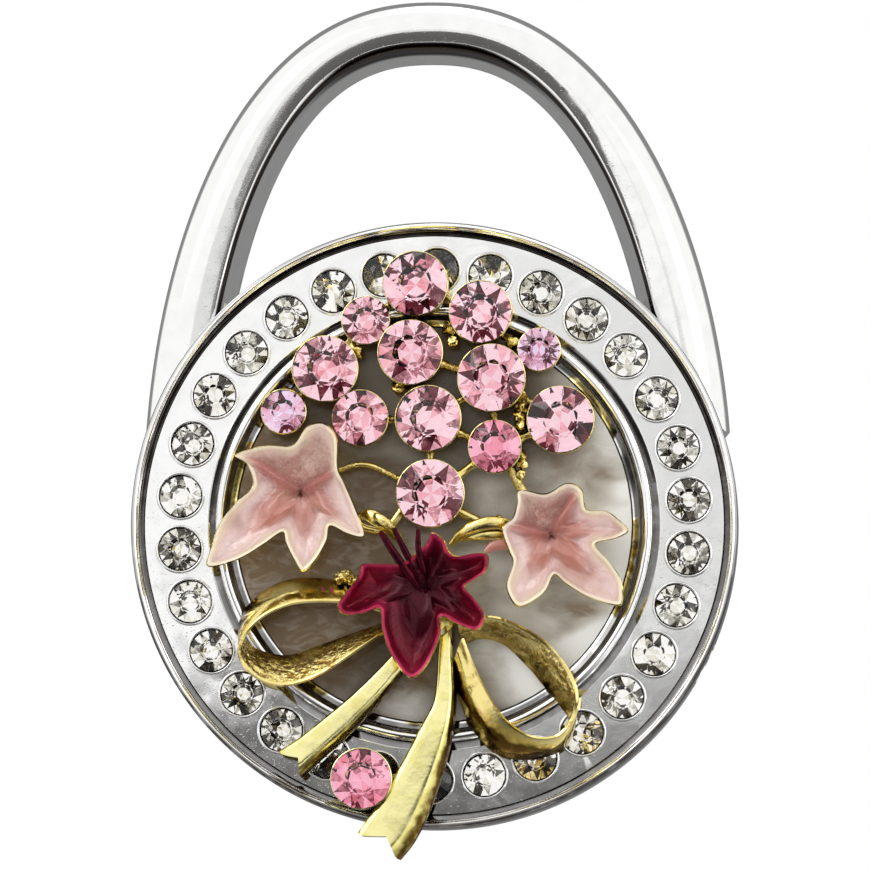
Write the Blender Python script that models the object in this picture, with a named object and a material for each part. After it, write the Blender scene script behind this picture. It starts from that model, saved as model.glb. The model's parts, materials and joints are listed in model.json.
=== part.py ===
"""A folding bag hanger in padlock form: a jewelled disc, the shackle hinged to it and a bouquet on its face.

Every shape is drawn lying on its back, with X to the right, Y up the face, Z towards the viewer and the
grip pad's face at Z = 0. It is then stood up, so that the face looks towards -Y and the hanger hangs by
its shackle. The origin is where a strap bears on the shackle.
"""

import math

import bmesh
import bpy
from mathutils import Matrix, Vector

# Clearances and the fineness of round pieces
SEAT_GAP = 0.0001
HINGE_GAP = 0.0003
OVERRUN = 0.0010
UPRIGHT = Matrix(((1, 0, 0), (0, 0, -1), (0, 1, 0))).to_4x4()
DISC_SIDES = 60
SMALL_SIDES = 12
ROD_SIDES = 6

# Face of the disc, from the rim inwards
RIM_RADIUS = 0.0225
RIM_BEAD_WIDTH = 0.0006
RIM_BEAD_RISE = 0.0006
RIM_GROOVE_WIDTH = 0.0004
STEP_WIDTH = 0.0004
STEP_RISE = 0.00015
CHANNEL_WIDTH = 0.0043
RING_GROOVE_WIDTH = 0.0006
RING_WIDTH = 0.0008
RING_RISE = 0.0008
RECESS_WALL_WIDTH = 0.00065
GROOVE_DEPTH = 0.0003
BEAD_SHARES = ((0.0, 0.55), (0.28, 1.0), (0.72, 1.0), (1.0, 0.55))

# Thicknesses of the disc's layers, from the pad's face up
PAD_THICKNESS = 0.0009
PLATE_THICKNESS = 0.0009
SHACKLE_LIFT = 0.0004
SHACKLE_THICKNESS = 0.0040
FLANGE_THICKNESS = 0.0023
INLAY_THICKNESS = 0.0010
WEB_THICKNESS = 0.0018
SIDE_STEP = 0.0001
BACK_CHAMFER = 0.0006
PAD_CHAMFER = 0.0002

# Back of the disc, from the wall beside the free leg inwards
PLATE_WALL = 0.0009
PLATE_LEDGE = 0.0020
PAD_INSET = 0.0008

# Shackle: the fullness of an outline is its superellipse's power across the width
SHACKLE_INSET = 0.0005
SHACKLE_RISE = 0.0376
SPRING_LINE = 0.0020
ARCH_LEAN = 0.0005
LEG_WIDTH = 0.0055
CROWN_WIDTH = 0.0046
LEG_TIP_DROP = 0.0050
LEG_TIP_ROUND = 0.0008
TIP_SHARE = 0.72
OUTER_FULLNESS = 2.25
INNER_FULLNESS = 2.4
ARCH_STATIONS = 30
POCKET_GAP = 0.0004
SECTION_SHARES = (
    (0.10, 0.0),
    (0.0, 0.14),
    (0.15, 0.74),
    (0.22, 0.87),
    (0.36, 0.97),
    (0.53, 1.0),
    (0.70, 0.96),
    (0.86, 0.82),
    (0.97, 0.58),
    (1.0, 0.36),
    (0.97, 0.10),
    (0.88, 0.0),
)
WALL_SLOPE_SHARE = 0.15

# Hinge, whose axis runs up the face beside the right leg
HINGE_INSET = 0.0025
PIN_RADIUS = 0.0008
PIN_CLEARANCE = 0.00005
PIN_SIDES = 16
KNUCKLE_RADIUS = 0.0017
KNUCKLE_TOP = 0.0027
KNUCKLE_LENGTH = 0.0044
EAR_LENGTH = 0.0025
PIN_SETBACK = 0.0006

# Magnet in the disc and steel keeper in the free leg
MAGNET_RADIUS = 0.0010
MAGNET_LENGTH = 0.0012
KEEPER_RADIUS = 0.0008
KEEPER_LENGTH = 0.0014
LATCH_LINE = 0.0005

# Cut stones: shares of the stone's radius
TABLE_SHARE = 0.58
CROWN_SHARE = 0.30
GIRDLE_SHARE = 0.06
PAVILION_SHARE = 0.80
CULET_SHARE = 0.08

# Ring of clear stones
CLEAR_STONES = 30
CLEAR_STONE_SHARE = 0.78
FIRST_STONE_TURN = math.radians(-0.7)
STONE_PROUD = 0.0001
CLEAR_SIDES = 10

# Bouquet: cups that hold the pink stones, and the stems that join them
BOUQUET_LIFT = 0.00015
CUP_WALL = 0.00012
CUP_FLOOR = 0.00035
CUP_GAP = 0.00006
STEM_RADIUS = 0.00035
STEM_LIFT = 0.00005
STEM_BITE = 0.0003
STEM_STAGGER = 0.00001
TIE_RADIUS = 0.00025
POST_RADIUS = 0.0006
POST_BITE = 0.0012

# Centre across, centre up and radius of each pink stone's cup: shares of the rim's radius
CUP_SHARES = (
    (-0.054, 0.784, 0.1087),
    (0.160, 0.690, 0.1050),
    (-0.219, 0.665, 0.0807),
    (-0.071, 0.557, 0.1087),
    (-0.351, 0.504, 0.1103),
    (0.196, 0.471, 0.1136),
    (0.351, 0.567, 0.0725),
    (-0.012, 0.339, 0.1103),
    (-0.236, 0.343, 0.0939),
    (-0.489, 0.366, 0.0758),
    (0.423, 0.333, 0.1120),
    (0.206, 0.247, 0.0889),
    (-0.005, 0.092, 0.1136),
)
RIM_CUP_SHARES = (-0.232, -0.843, 0.1020)
JOINED_CUPS = (
    (1, 2), (1, 3), (1, 4), (3, 4), (3, 5), (2, 6), (4, 6), (4, 8), (5, 9), (5, 10),
    (6, 7), (6, 8), (6, 11), (6, 12), (8, 9), (8, 12), (8, 13), (11, 12), (12, 13),
)
POSTED_CUP = 4

# Lilies: a flower's outline runs round its throat, in shares of the lily's size
LILY_SIZE_SHARE = 0.2964
LILY_HEIGHT = 0.0026
LILY_EDGE = 0.0005
LILY_PAD_RADIUS = 0.0015
LILY_PAD_RISE = 0.00105
LEFT_LILY_PLACE_SHARES = (-0.430, 0.099)
RIGHT_LILY_PLACE_SHARES = (0.390, -0.043)
CENTRE_LILY_PLACE_SHARES = (-0.015, -0.217)
# How far out each ring of a lily's surface lies, and its height at a notch and at a petal's tip
PETAL_SHARES = ((0.28, 0.50, 0.50), (0.55, 0.72, 0.98), (0.80, 0.70, 0.92), (1.0, 0.52, 0.66))
THROAT_SHARE = 0.22
FOOT_SHARE = 0.45
LEFT_LILY_SHARES = (
    (-0.714, 0.398), (-0.373, 0.497), (-0.089, 0.497), (0.067, 0.694), (0.252, 0.738),
    (0.396, 0.584), (0.407, 0.254), (0.483, 0.079), (0.614, -0.229), (0.702, -0.492),
    (0.527, -0.471), (0.329, -0.383), (0.286, -0.548), (0.176, -0.744), (0.033, -0.878),
    (-0.067, -0.744), (-0.153, -0.570), (-0.198, -0.449), (-0.418, -0.591), (-0.681, -0.744),
    (-1.011, -0.822), (-0.967, -0.591), (-0.879, -0.350), (-0.681, -0.108), (-0.511, 0.067),
    (-0.593, 0.320),
)
RIGHT_LILY_SHARES = (
    (-0.333, 0.471), (-0.052, 0.424), (0.181, 0.541), (0.344, 0.471), (0.392, 0.260),
    (0.602, 0.237), (0.742, 0.143), (0.848, 0.027), (0.719, -0.056), (0.486, -0.126),
    (0.649, -0.324), (0.767, -0.511), (0.789, -0.733), (0.719, -0.792), (0.416, -0.699),
    (0.181, -0.558), (0.041, -0.453), (-0.052, -0.628), (-0.193, -0.744), (-0.333, -0.803),
    (-0.427, -0.722), (-0.473, -0.558), (-0.403, -0.324), (-0.450, -0.184), (-0.520, 0.050),
    (-0.403, 0.167), (-0.357, 0.330),
)
CENTRE_LILY_SHARES = (
    (0.067, 0.578), (0.0, 0.456), (-0.111, 0.356), (-0.278, 0.244), (-0.533, 0.244),
    (-0.700, 0.233), (-0.744, 0.100), (-0.900, -0.100), (-0.971, -0.228), (-0.878, -0.311),
    (-0.678, -0.289), (-0.511, -0.244), (-0.478, -0.467), (-0.389, -0.733), (-0.189, -1.0),
    (-0.011, -0.889), (0.144, -0.556), (0.161, -0.333), (0.333, -0.411), (0.522, -0.483),
    (0.611, -0.433), (0.633, -0.300), (0.522, -0.133), (0.422, -0.011), (0.544, 0.078),
    (0.656, 0.167), (0.667, 0.333), (0.544, 0.356), (0.333, 0.322), (0.244, 0.378),
    (0.189, 0.500),
)

# Stems that carry the side lilies, as points in shares of the rim's radius
LEFT_STEM_SHARES = ((-0.090, 0.060), (-0.170, -0.020), (-0.300, 0.020), (-0.430, 0.099))
RIGHT_STEM_SHARES = ((0.080, 0.040), (0.190, -0.010), (0.290, -0.015), (0.390, -0.043))
UPPER_STEM_SHARES = ((0.240, 0.180), (0.290, 0.110), (0.340, 0.050), (0.390, -0.043))
WIRE_SHARES = ((-0.370, 0.140), (-0.290, 0.175), (-0.210, 0.190), (-0.100, 0.130))

# Bow: a loop's centre line with the ribbon's half width, in shares of the rim's radius
RIBBON_RISE = 0.0015
TAIL_RISE = 0.0009
KNOT_RADIUS = 0.0019
KNOT_RISE = 0.0017
KNOT_PLACE_SHARES = (-0.003, -0.293)
RIBBON_SECTION_SHARES = (
    (-0.86, 0.0), (-1.0, 0.18), (-1.0, 0.86), (-0.78, 1.0), (0.0, 0.80), (0.78, 1.0), (1.0, 0.86), (1.0, 0.18),
    (0.86, 0.0),
)
LEFT_LOOP_SHARES = (
    (-0.069, -0.313, 0.030), (-0.175, -0.267, 0.030), (-0.290, -0.240, 0.030), (-0.438, -0.227, 0.046),
    (-0.543, -0.267, 0.046), (-0.600, -0.352, 0.032), (-0.583, -0.451, 0.040), (-0.494, -0.494, 0.049),
    (-0.379, -0.471, 0.046), (-0.267, -0.408, 0.040), (-0.158, -0.349, 0.033), (-0.059, -0.326, 0.030),
)
RIGHT_LOOP_SHARES = (
    (0.072, -0.326, 0.030), (0.171, -0.352, 0.030), (0.260, -0.402, 0.033), (0.352, -0.478, 0.036),
    (0.425, -0.583, 0.040), (0.438, -0.682, 0.041), (0.385, -0.738, 0.043), (0.310, -0.741, 0.043),
    (0.231, -0.708, 0.043), (0.161, -0.623, 0.036), (0.115, -0.517, 0.030), (0.086, -0.418, 0.023),
    (0.063, -0.326, 0.023),
)
LEFT_TAIL_SHARES = (
    (-0.049, -0.326), (-0.105, -0.385), (-0.158, -0.461), (-0.217, -0.530), (-0.346, -0.632),
    (-0.458, -0.725), (-0.514, -0.771), (-0.441, -0.748), (-0.431, -0.784), (-0.431, -0.847),
    (-0.346, -0.797), (-0.250, -0.672), (-0.145, -0.550), (-0.105, -0.491), (-0.076, -0.418),
    (-0.016, -0.359),
)
RIGHT_TAIL_SHARES = (
    (0.030, -0.336), (0.020, -0.537), (-0.010, -0.655), (-0.056, -0.758), (-0.125, -0.879),
    (-0.204, -0.965), (-0.247, -1.038), (-0.165, -1.034), (-0.138, -1.080), (-0.105, -1.126),
    (-0.049, -1.061), (0.010, -0.932), (0.063, -0.725), (0.076, -0.590), (0.072, -0.418),
    (0.056, -0.336),
)
RIM_CUP_TIE_SHARES = ((-0.150, -0.843), (-0.070, -0.830))

# Radii of the face's rings
rim_inner = RIM_RADIUS - RIM_BEAD_WIDTH
step_outer = rim_inner - RIM_GROOVE_WIDTH
step_inner = step_outer - STEP_WIDTH
channel_inner = step_inner - CHANNEL_WIDTH
ring_outer = channel_inner - RING_GROOVE_WIDTH
ring_inner = ring_outer - RING_WIDTH
recess_radius = ring_inner - RECESS_WALL_WIDTH
body_radius = RIM_RADIUS - SIDE_STEP
stone_circle = (channel_inner + step_inner) / 2
clear_stone_radius = CLEAR_STONE_SHARE * stone_circle * math.sin(math.pi / CLEAR_STONES)
lily_size = LILY_SIZE_SHARE * RIM_RADIUS

# Outline of the shackle and of the pockets that its legs lie in
outer_half_width = RIM_RADIUS - SHACKLE_INSET
inner_half_width = outer_half_width - LEG_WIDTH
inner_rise = SHACKLE_RISE - CROWN_WIDTH
pocket_wall = inner_half_width - POCKET_GAP
leg_tip = SPRING_LINE - LEG_TIP_DROP
strap_line = SPRING_LINE + inner_rise

# Back of the disc
magnet_end = pocket_wall - MAGNET_LENGTH - SEAT_GAP * 2
plate_radius = magnet_end - PLATE_WALL - SEAT_GAP
cavity_radius = plate_radius - PLATE_LEDGE
pad_radius = plate_radius - PAD_INSET

# Levels above the pad's face
back_level = PAD_THICKNESS + SEAT_GAP
plate_top = back_level + PLATE_THICKNESS
flange_under = SHACKLE_LIFT + SHACKLE_THICKNESS + HINGE_GAP
face_level = flange_under + FLANGE_THICKNESS
recess_floor = face_level - INLAY_THICKNESS - SEAT_GAP
cavity_roof = recess_floor - WEB_THICKNESS
ring_top = face_level + RING_RISE
bouquet_level = ring_top + BOUQUET_LIFT
post_foot = recess_floor - POST_BITE
knot_top = bouquet_level + KNOT_RISE
lily_pad_top = bouquet_level + LILY_PAD_RISE

# Hinge
hinge_x = RIM_RADIUS - HINGE_INSET
hinge_z = SHACKLE_LIFT + SHACKLE_THICKNESS / 2
pin_hole_radius = PIN_RADIUS + PIN_CLEARANCE
knuckle_low = KNUCKLE_TOP - KNUCKLE_LENGTH
ear_low = KNUCKLE_TOP + HINGE_GAP
ear_high = ear_low + EAR_LENGTH
leg_foot = ear_high + HINGE_GAP



def clear_scene():
    for old in list(bpy.data.objects):
        bpy.data.objects.remove(old, do_unlink=True)


def finish(name, colour, metallic, roughness):
    """A plain material with the piece's colour."""
    made = bpy.data.materials.new(name)
    made.use_nodes = True
    shader = made.node_tree.nodes["Principled BSDF"]
    shader.inputs["Base Color"].default_value = (*colour, 1.0)
    shader.inputs["Metallic"].default_value = metallic
    shader.inputs["Roughness"].default_value = roughness
    return made


def piece_of(bm, name, material, parent):
    """Stand a drawn shape up and make a named object of it, hung on an empty without moving it."""
    bmesh.ops.recalc_face_normals(bm, faces=bm.faces)
    bm.transform(UPRIGHT)
    mesh = bpy.data.meshes.new(name)
    bm.to_mesh(mesh)
    bm.free()
    mesh.shade_smooth()
    mesh.set_sharp_from_angle(angle=math.radians(35))
    piece = bpy.data.objects.new(name, mesh)
    bpy.context.scene.collection.objects.link(piece)
    if material:
        mesh.materials.append(material)
    piece.parent = parent
    if parent.parent:
        piece.location = -parent.location
    return piece


def rod_into(bm, start, end, radius, sides):
    """Add a round bar between two points."""
    start, end = Vector(start), Vector(end)
    along = end - start
    turn = along.to_track_quat("Z", "X").to_matrix().to_4x4()
    turn.translation = (start + end) / 2
    bmesh.ops.create_cone(
        bm,
        cap_ends=True,
        segments=sides,
        radius1=radius,
        radius2=radius,
        depth=along.length,
        matrix=turn,
    )


def loft_into(bm, sections):
    """Add a closed body that runs through a list of rings of as many points."""
    rings = [[bm.verts.new(p) for p in section] for section in sections]
    count = len(rings[0])
    for low, high in zip(rings, rings[1:]):
        for i in range(count):
            j = (i + 1) % count
            bm.faces.new((low[i], low[j], high[j], high[i]))
    bm.faces.new(rings[0])
    bm.faces.new(rings[-1])


def prism_into(bm, outline, low, high):
    """Add an outline of x, y points drawn up between two levels."""
    loft_into(bm, [[(x, y, low) for x, y in outline], [(x, y, high) for x, y in outline]])


def turned_into(bm, x, y, profile, sides, turn=0.0):
    """Add a round body with flat ends. The profile runs from the edge of one end to the edge of the other."""
    angles = [turn + math.tau * step / sides for step in range(sides)]
    loft_into(bm, [[(x + r * math.cos(a), y + r * math.sin(a), z) for a in angles] for r, z in profile])


def as_guide(shape):
    shape.hide_render = True
    shape.display_type = "WIRE"


def boolean(piece, other, operation):
    """Cut a guide from a piece, or join it on."""
    as_guide(other)
    step = piece.modifiers.new(operation.lower(), "BOOLEAN")
    step.operation = operation
    step.solver = "EXACT"
    step.object = other


def start_group(name):
    """A collection for shapes that are joined onto one piece."""
    group = bpy.data.collections.new(name)
    bpy.context.scene.collection.children.link(group)
    return group


def guide(group, parent, draw, *details):
    """Draw one closed shape of a group."""
    bm = bmesh.new()
    draw(bm, *details)
    shape = piece_of(bm, group.name, None, parent)
    bpy.context.scene.collection.objects.unlink(shape)
    group.objects.link(shape)
    as_guide(shape)


def join_group(piece, group):
    step = piece.modifiers.new("union", "BOOLEAN")
    step.operation = "UNION"
    step.solver = "EXACT"
    step.operand_type = "COLLECTION"
    step.collection = group


def on_face(shares):
    """A place on the disc's face, from shares of the rim's radius."""
    return shares[0] * RIM_RADIUS, shares[1] * RIM_RADIUS


def face_outline(shares):
    return [on_face(point) for point in shares]


def bead(inner, width, level, rise):
    """The rounded top of a raised ring, as turned profile points from the inside out."""
    return [(inner + width * across, level + rise * up) for across, up in BEAD_SHARES]


def superellipse(half_width, rise, fullness, angle):
    """A point of the shackle's outline, at 0 on the left and pi on the right. The top leans a little to the left."""
    across = abs(math.cos(angle)) ** (2 / fullness)
    lean = ARCH_LEAN * math.sin(angle) ** 2
    return -math.copysign(half_width * across, math.cos(angle)) - lean, SPRING_LINE + rise * math.sin(angle)


def stone_profile(radius, girdle_top):
    """Table, crown, girdle, pavilion and culet of a cut stone."""
    girdle_foot = girdle_top - GIRDLE_SHARE * radius
    culet = girdle_foot - PAVILION_SHARE * radius
    return [
        (TABLE_SHARE * radius, girdle_top + CROWN_SHARE * radius),
        (radius, girdle_top),
        (radius, girdle_foot),
        (CULET_SHARE * radius, culet),
    ]


def stone_depth(radius):
    """How far a stone's culet lies under its girdle's top."""
    return (GIRDLE_SHARE + PAVILION_SHARE) * radius


def make_materials():
    return {
        "chrome": finish("chrome_plate", (0.86, 0.86, 0.85), 1.0, 0.08),
        "rubber": finish("rubber_pad", (0.03, 0.03, 0.03), 0.0, 0.8),
        "shell": finish("shell_inlay", (0.70, 0.66, 0.60), 0.0, 0.25),
        "gold": finish("gold_plate", (0.88, 0.66, 0.24), 1.0, 0.22),
        "pearl": finish("pearl_enamel", (0.92, 0.78, 0.76), 0.0, 0.2),
        "wine": finish("wine_enamel", (0.38, 0.02, 0.12), 0.0, 0.15),
        "clear": finish("clear_stone", (0.92, 0.91, 0.88), 0.0, 0.02),
        "pink": finish("pink_stone", (0.85, 0.38, 0.55), 0.0, 0.02),
        "steel": finish("steel_parts", (0.60, 0.60, 0.60), 1.0, 0.35),
    }


def disc_profile():
    """The disc's turned outline, from the middle of its face round the rim to the middle of its back."""
    return [
        (recess_radius, recess_floor),
        (recess_radius, face_level),
        *bead(ring_inner, RING_WIDTH, face_level, RING_RISE),
        (ring_outer, face_level - GROOVE_DEPTH),
        (channel_inner, face_level - GROOVE_DEPTH),
        (channel_inner, face_level),
        (step_inner, face_level),
        (step_inner, face_level + STEP_RISE),
        (step_outer, face_level + STEP_RISE),
        (step_outer, face_level - GROOVE_DEPTH),
        (rim_inner, face_level - GROOVE_DEPTH),
        *bead(rim_inner, RIM_BEAD_WIDTH, face_level, RIM_BEAD_RISE),
        (RIM_RADIUS, flange_under),
        (body_radius, flange_under),
        (body_radius, back_level + BACK_CHAMFER),
        (body_radius - BACK_CHAMFER, back_level),
        (plate_radius + SEAT_GAP, back_level),
        (plate_radius + SEAT_GAP, plate_top + SEAT_GAP),
        (cavity_radius, plate_top + SEAT_GAP),
        (cavity_radius, cavity_roof),
    ]


def pocket_outline(side, end):
    """A notch beside the disc that the shackle's leg lies in, open at the rim. Side is -1 or 1."""
    turns = [math.radians(a if side < 0 else 180 - a) for a in range(0, 50, 5)]
    wall = [superellipse(pocket_wall, inner_rise - POCKET_GAP, INNER_FULLNESS, turn) for turn in turns]
    outside = side * (RIM_RADIUS + OVERRUN)
    return [(side * pocket_wall, end), *wall, (outside, wall[-1][1]), (outside, end)]


def stone_angle(index):
    return math.pi / 2 + FIRST_STONE_TURN - math.tau * index / CLEAR_STONES


def stone_place(index):
    """The centre of a clear stone on its circle."""
    angle = stone_angle(index)
    return stone_circle * math.cos(angle), stone_circle * math.sin(angle)


def make_seats(hinge):
    """One hole for each clear stone, with a cone under it that follows the stone's."""
    bm = bmesh.new()
    hole = clear_stone_radius + SEAT_GAP
    girdle_foot = face_level + STONE_PROUD - GIRDLE_SHARE * clear_stone_radius
    culet = face_level + STONE_PROUD - stone_depth(clear_stone_radius) - SEAT_GAP
    for index in range(CLEAR_STONES):
        x, y = stone_place(index)
        profile = [
            (hole, face_level + OVERRUN),
            (hole, girdle_foot - SEAT_GAP),
            (CULET_SHARE * clear_stone_radius + SEAT_GAP, culet),
        ]
        turned_into(bm, x, y, profile, CLEAR_SIDES, stone_angle(index))
    return piece_of(bm, "stone_seats", None, hinge)


def post_places():
    """Where the bouquet's posts and the bow's post pass through the inlay."""
    return [
        on_face(LEFT_LILY_PLACE_SHARES),
        on_face(RIGHT_LILY_PLACE_SHARES),
        on_face(CUP_SHARES[POSTED_CUP - 1]),
        on_face(KNOT_PLACE_SHARES),
    ]


def make_post_holes(hinge, name):
    bm = bmesh.new()
    for x, y in post_places():
        rod_into(
            bm,
            (x, y, post_foot - SEAT_GAP),
            (x, y, face_level + OVERRUN),
            POST_RADIUS + SEAT_GAP,
            SMALL_SIDES,
        )
    return piece_of(bm, name, None, hinge)


def make_ear(hinge):
    """The disc's hinge ear, which hangs from the flange above the shackle's knuckle."""
    bm = bmesh.new()
    arc = [math.pi * (1 + step / SMALL_SIDES) for step in range(SMALL_SIDES + 1)]
    profile = [(hinge_x - KNUCKLE_RADIUS, flange_under + OVERRUN / 2)]
    profile += [(hinge_x + KNUCKLE_RADIUS * math.cos(a), hinge_z + KNUCKLE_RADIUS * math.sin(a)) for a in arc]
    profile += [(hinge_x + KNUCKLE_RADIUS, flange_under + OVERRUN / 2)]
    loft_into(bm, [[(x, y, z) for x, z in profile] for y in (ear_low, ear_high)])
    return piece_of(bm, "hinge_ear", None, hinge)


def make_disc_body(hinge, materials):
    bm = bmesh.new()
    turned_into(bm, 0, 0, disc_profile(), DISC_SIDES)
    body = piece_of(bm, "disc_body", materials["chrome"], hinge)

    pockets = bmesh.new()
    low = back_level - OVERRUN
    prism_into(pockets, pocket_outline(-1, leg_tip - POCKET_GAP), low, flange_under)
    prism_into(pockets, pocket_outline(1, knuckle_low - HINGE_GAP), low, flange_under)
    boolean(body, piece_of(pockets, "leg_pockets", None, hinge), "DIFFERENCE")
    boolean(body, make_seats(hinge), "DIFFERENCE")
    boolean(body, make_post_holes(hinge, "body_post_holes"), "DIFFERENCE")
    boolean(body, make_ear(hinge), "UNION")

    bores = bmesh.new()
    rod_into(
        bores,
        (hinge_x, -RIM_RADIUS, hinge_z),
        (hinge_x, ear_high + OVERRUN, hinge_z),
        pin_hole_radius,
        PIN_SIDES,
    )
    rod_into(
        bores,
        (-(pocket_wall + POCKET_GAP), LATCH_LINE, hinge_z),
        (-magnet_end, LATCH_LINE, hinge_z),
        MAGNET_RADIUS + SEAT_GAP,
        SMALL_SIDES,
    )
    boolean(body, piece_of(bores, "pin_and_magnet_bores", None, hinge), "DIFFERENCE")


def make_back_plate(hinge, materials):
    bm = bmesh.new()
    turned_into(bm, 0, 0, [(plate_radius, plate_top), (plate_radius, back_level)], DISC_SIDES)
    piece_of(bm, "back_plate", materials["steel"], hinge)


def make_grip_pad(hinge, materials):
    bm = bmesh.new()
    profile = [(pad_radius, PAD_THICKNESS), (pad_radius, PAD_CHAMFER), (pad_radius - PAD_CHAMFER, 0)]
    turned_into(bm, 0, 0, profile, DISC_SIDES)
    piece_of(bm, "grip_pad", materials["rubber"], hinge)


def make_shell_inlay(hinge, materials):
    bm = bmesh.new()
    radius = recess_radius - SEAT_GAP
    turned_into(bm, 0, 0, [(radius, face_level), (radius, face_level - INLAY_THICKNESS)], DISC_SIDES)
    inlay = piece_of(bm, "shell_inlay", materials["shell"], hinge)
    boolean(inlay, make_post_holes(hinge, "inlay_post_holes"), "DIFFERENCE")


def make_hinge_pin(hinge, materials):
    bm = bmesh.new()
    foot = -math.sqrt(body_radius**2 - hinge_x**2) + PIN_SETBACK
    rod_into(bm, (hinge_x, foot, hinge_z), (hinge_x, ear_high, hinge_z), PIN_RADIUS, PIN_SIDES)
    piece_of(bm, "hinge_pin", materials["steel"], hinge)


def make_magnet(hinge, materials):
    """A round magnet let into the wall beside the free leg."""
    bm = bmesh.new()
    start = -(pocket_wall - SEAT_GAP)
    end = start + MAGNET_LENGTH
    rod_into(bm, (start, LATCH_LINE, hinge_z), (end, LATCH_LINE, hinge_z), MAGNET_RADIUS, SMALL_SIDES)
    piece_of(bm, "magnet", materials["steel"], hinge)


def bar_section(inner, outer, share=1.0):
    """The shackle's section between two points of its outlines. A share below 1 draws it in for a rounded end."""
    inner, outer = Vector(inner), Vector(outer)
    middle = (inner + outer) / 2
    ring = []
    for across, up in SECTION_SHARES:
        place = middle + (inner.lerp(outer, across) - middle) * share
        level = SHACKLE_LIFT + SHACKLE_THICKNESS * (0.5 + (up - 0.5) * share)
        ring.append((place.x, place.y, level))
    return ring


def arch_section(angle):
    inner = superellipse(inner_half_width, inner_rise, INNER_FULLNESS, angle)
    outer = superellipse(outer_half_width, SHACKLE_RISE, OUTER_FULLNESS, angle)
    return bar_section(inner, outer)


def join_knuckle(shackle, hanger):
    """Add the hinged leg's end: a bar that runs down inside the disc's ear, and the barrel round the pin."""
    group = start_group("knuckle_shapes")
    ear_side = hinge_x - KNUCKLE_RADIUS - HINGE_GAP
    bar_top = leg_foot + LEG_WIDTH / 4
    bar = [
        (inner_half_width, knuckle_low),
        (ear_side, knuckle_low),
        (ear_side, bar_top),
        (inner_half_width, bar_top),
    ]
    bar_level = SHACKLE_LIFT + SHACKLE_THICKNESS * SECTION_SHARES[2][1]
    guide(group, hanger, prism_into, bar, SHACKLE_LIFT, bar_level)
    web_half = KNUCKLE_RADIUS * 0.8
    web = [
        (ear_side - HINGE_GAP, knuckle_low),
        (hinge_x, knuckle_low),
        (hinge_x, KNUCKLE_TOP),
        (ear_side - HINGE_GAP, KNUCKLE_TOP),
    ]
    guide(group, hanger, prism_into, web, hinge_z - web_half, hinge_z + web_half)
    barrel = ((hinge_x, knuckle_low, hinge_z), (hinge_x, KNUCKLE_TOP, hinge_z))
    guide(group, hanger, rod_into, *barrel, KNUCKLE_RADIUS, SMALL_SIDES * 2)
    join_group(shackle, group)


def make_shackle(hanger, materials):
    bm = bmesh.new()
    tip_sections = [
        (leg_tip, TIP_SHARE),
        (leg_tip + LEG_TIP_ROUND / 3, (1 + TIP_SHARE) / 2),
        (leg_tip + LEG_TIP_ROUND, 1.0),
    ]
    sections = [bar_section((-inner_half_width, y), (-outer_half_width, y), share) for y, share in tip_sections]
    last = math.pi - math.asin((leg_foot - SPRING_LINE) / inner_rise)
    sections += [arch_section(last * step / ARCH_STATIONS) for step in range(ARCH_STATIONS + 1)]
    loft_into(bm, sections)
    shackle = piece_of(bm, "shackle", materials["chrome"], hanger)
    join_knuckle(shackle, hanger)

    bores = bmesh.new()
    rod_into(
        bores,
        (hinge_x, knuckle_low - OVERRUN, hinge_z),
        (hinge_x, KNUCKLE_TOP + OVERRUN, hinge_z),
        pin_hole_radius,
        PIN_SIDES,
    )
    wall = inner_half_width + WALL_SLOPE_SHARE * LEG_WIDTH
    rod_into(
        bores,
        (-pocket_wall, LATCH_LINE, hinge_z),
        (-(wall + KEEPER_LENGTH + SEAT_GAP), LATCH_LINE, hinge_z),
        KEEPER_RADIUS + SEAT_GAP,
        SMALL_SIDES,
    )
    boolean(shackle, piece_of(bores, "pin_and_keeper_bores", None, hanger), "DIFFERENCE")


def make_keeper(hanger, materials):
    """The steel slug in the free leg that the magnet pulls on."""
    bm = bmesh.new()
    start = -(inner_half_width + WALL_SLOPE_SHARE * LEG_WIDTH)
    end = start - KEEPER_LENGTH
    rod_into(bm, (start, LATCH_LINE, hinge_z), (end, LATCH_LINE, hinge_z), KEEPER_RADIUS, SMALL_SIDES)
    piece_of(bm, "keeper", materials["steel"], hanger)


def make_clear_stones(hinge, materials):
    for index in range(CLEAR_STONES):
        bm = bmesh.new()
        x, y = stone_place(index)
        profile = stone_profile(clear_stone_radius, face_level + STONE_PROUD)
        turned_into(bm, x, y, profile, CLEAR_SIDES, stone_angle(index))
        piece_of(bm, f"clear_stone_{index + 1:02d}", materials["clear"], hinge)


def cup_stone_radius(cup):
    return cup[2] * RIM_RADIUS - CUP_WALL - CUP_GAP


def cup_stone_girdle(cup):
    """The level of a cup's stone at its girdle's top, which is the cup's brim."""
    return bouquet_level + CUP_FLOOR + CUP_GAP + stone_depth(cup_stone_radius(cup))


def cup_into(bm, cup):
    """Add a cup as a solid disc. Its bore is cut once the discs and stems are joined."""
    x, y = on_face(cup)
    outer = cup[2] * RIM_RADIUS
    brim = cup_stone_girdle(cup)
    turned_into(bm, x, y, [(outer, brim), (outer, bouquet_level)], SMALL_SIDES)


def make_cup_bores(hinge, name, cups):
    bm = bmesh.new()
    for cup in cups:
        x, y = on_face(cup)
        bore = cup[2] * RIM_RADIUS - CUP_WALL
        brim = cup_stone_girdle(cup)
        floor = bouquet_level + CUP_FLOOR
        turned_into(bm, x, y, [(bore, brim + OVERRUN), (bore, floor)], SMALL_SIDES)
    return piece_of(bm, name, None, hinge)


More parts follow.
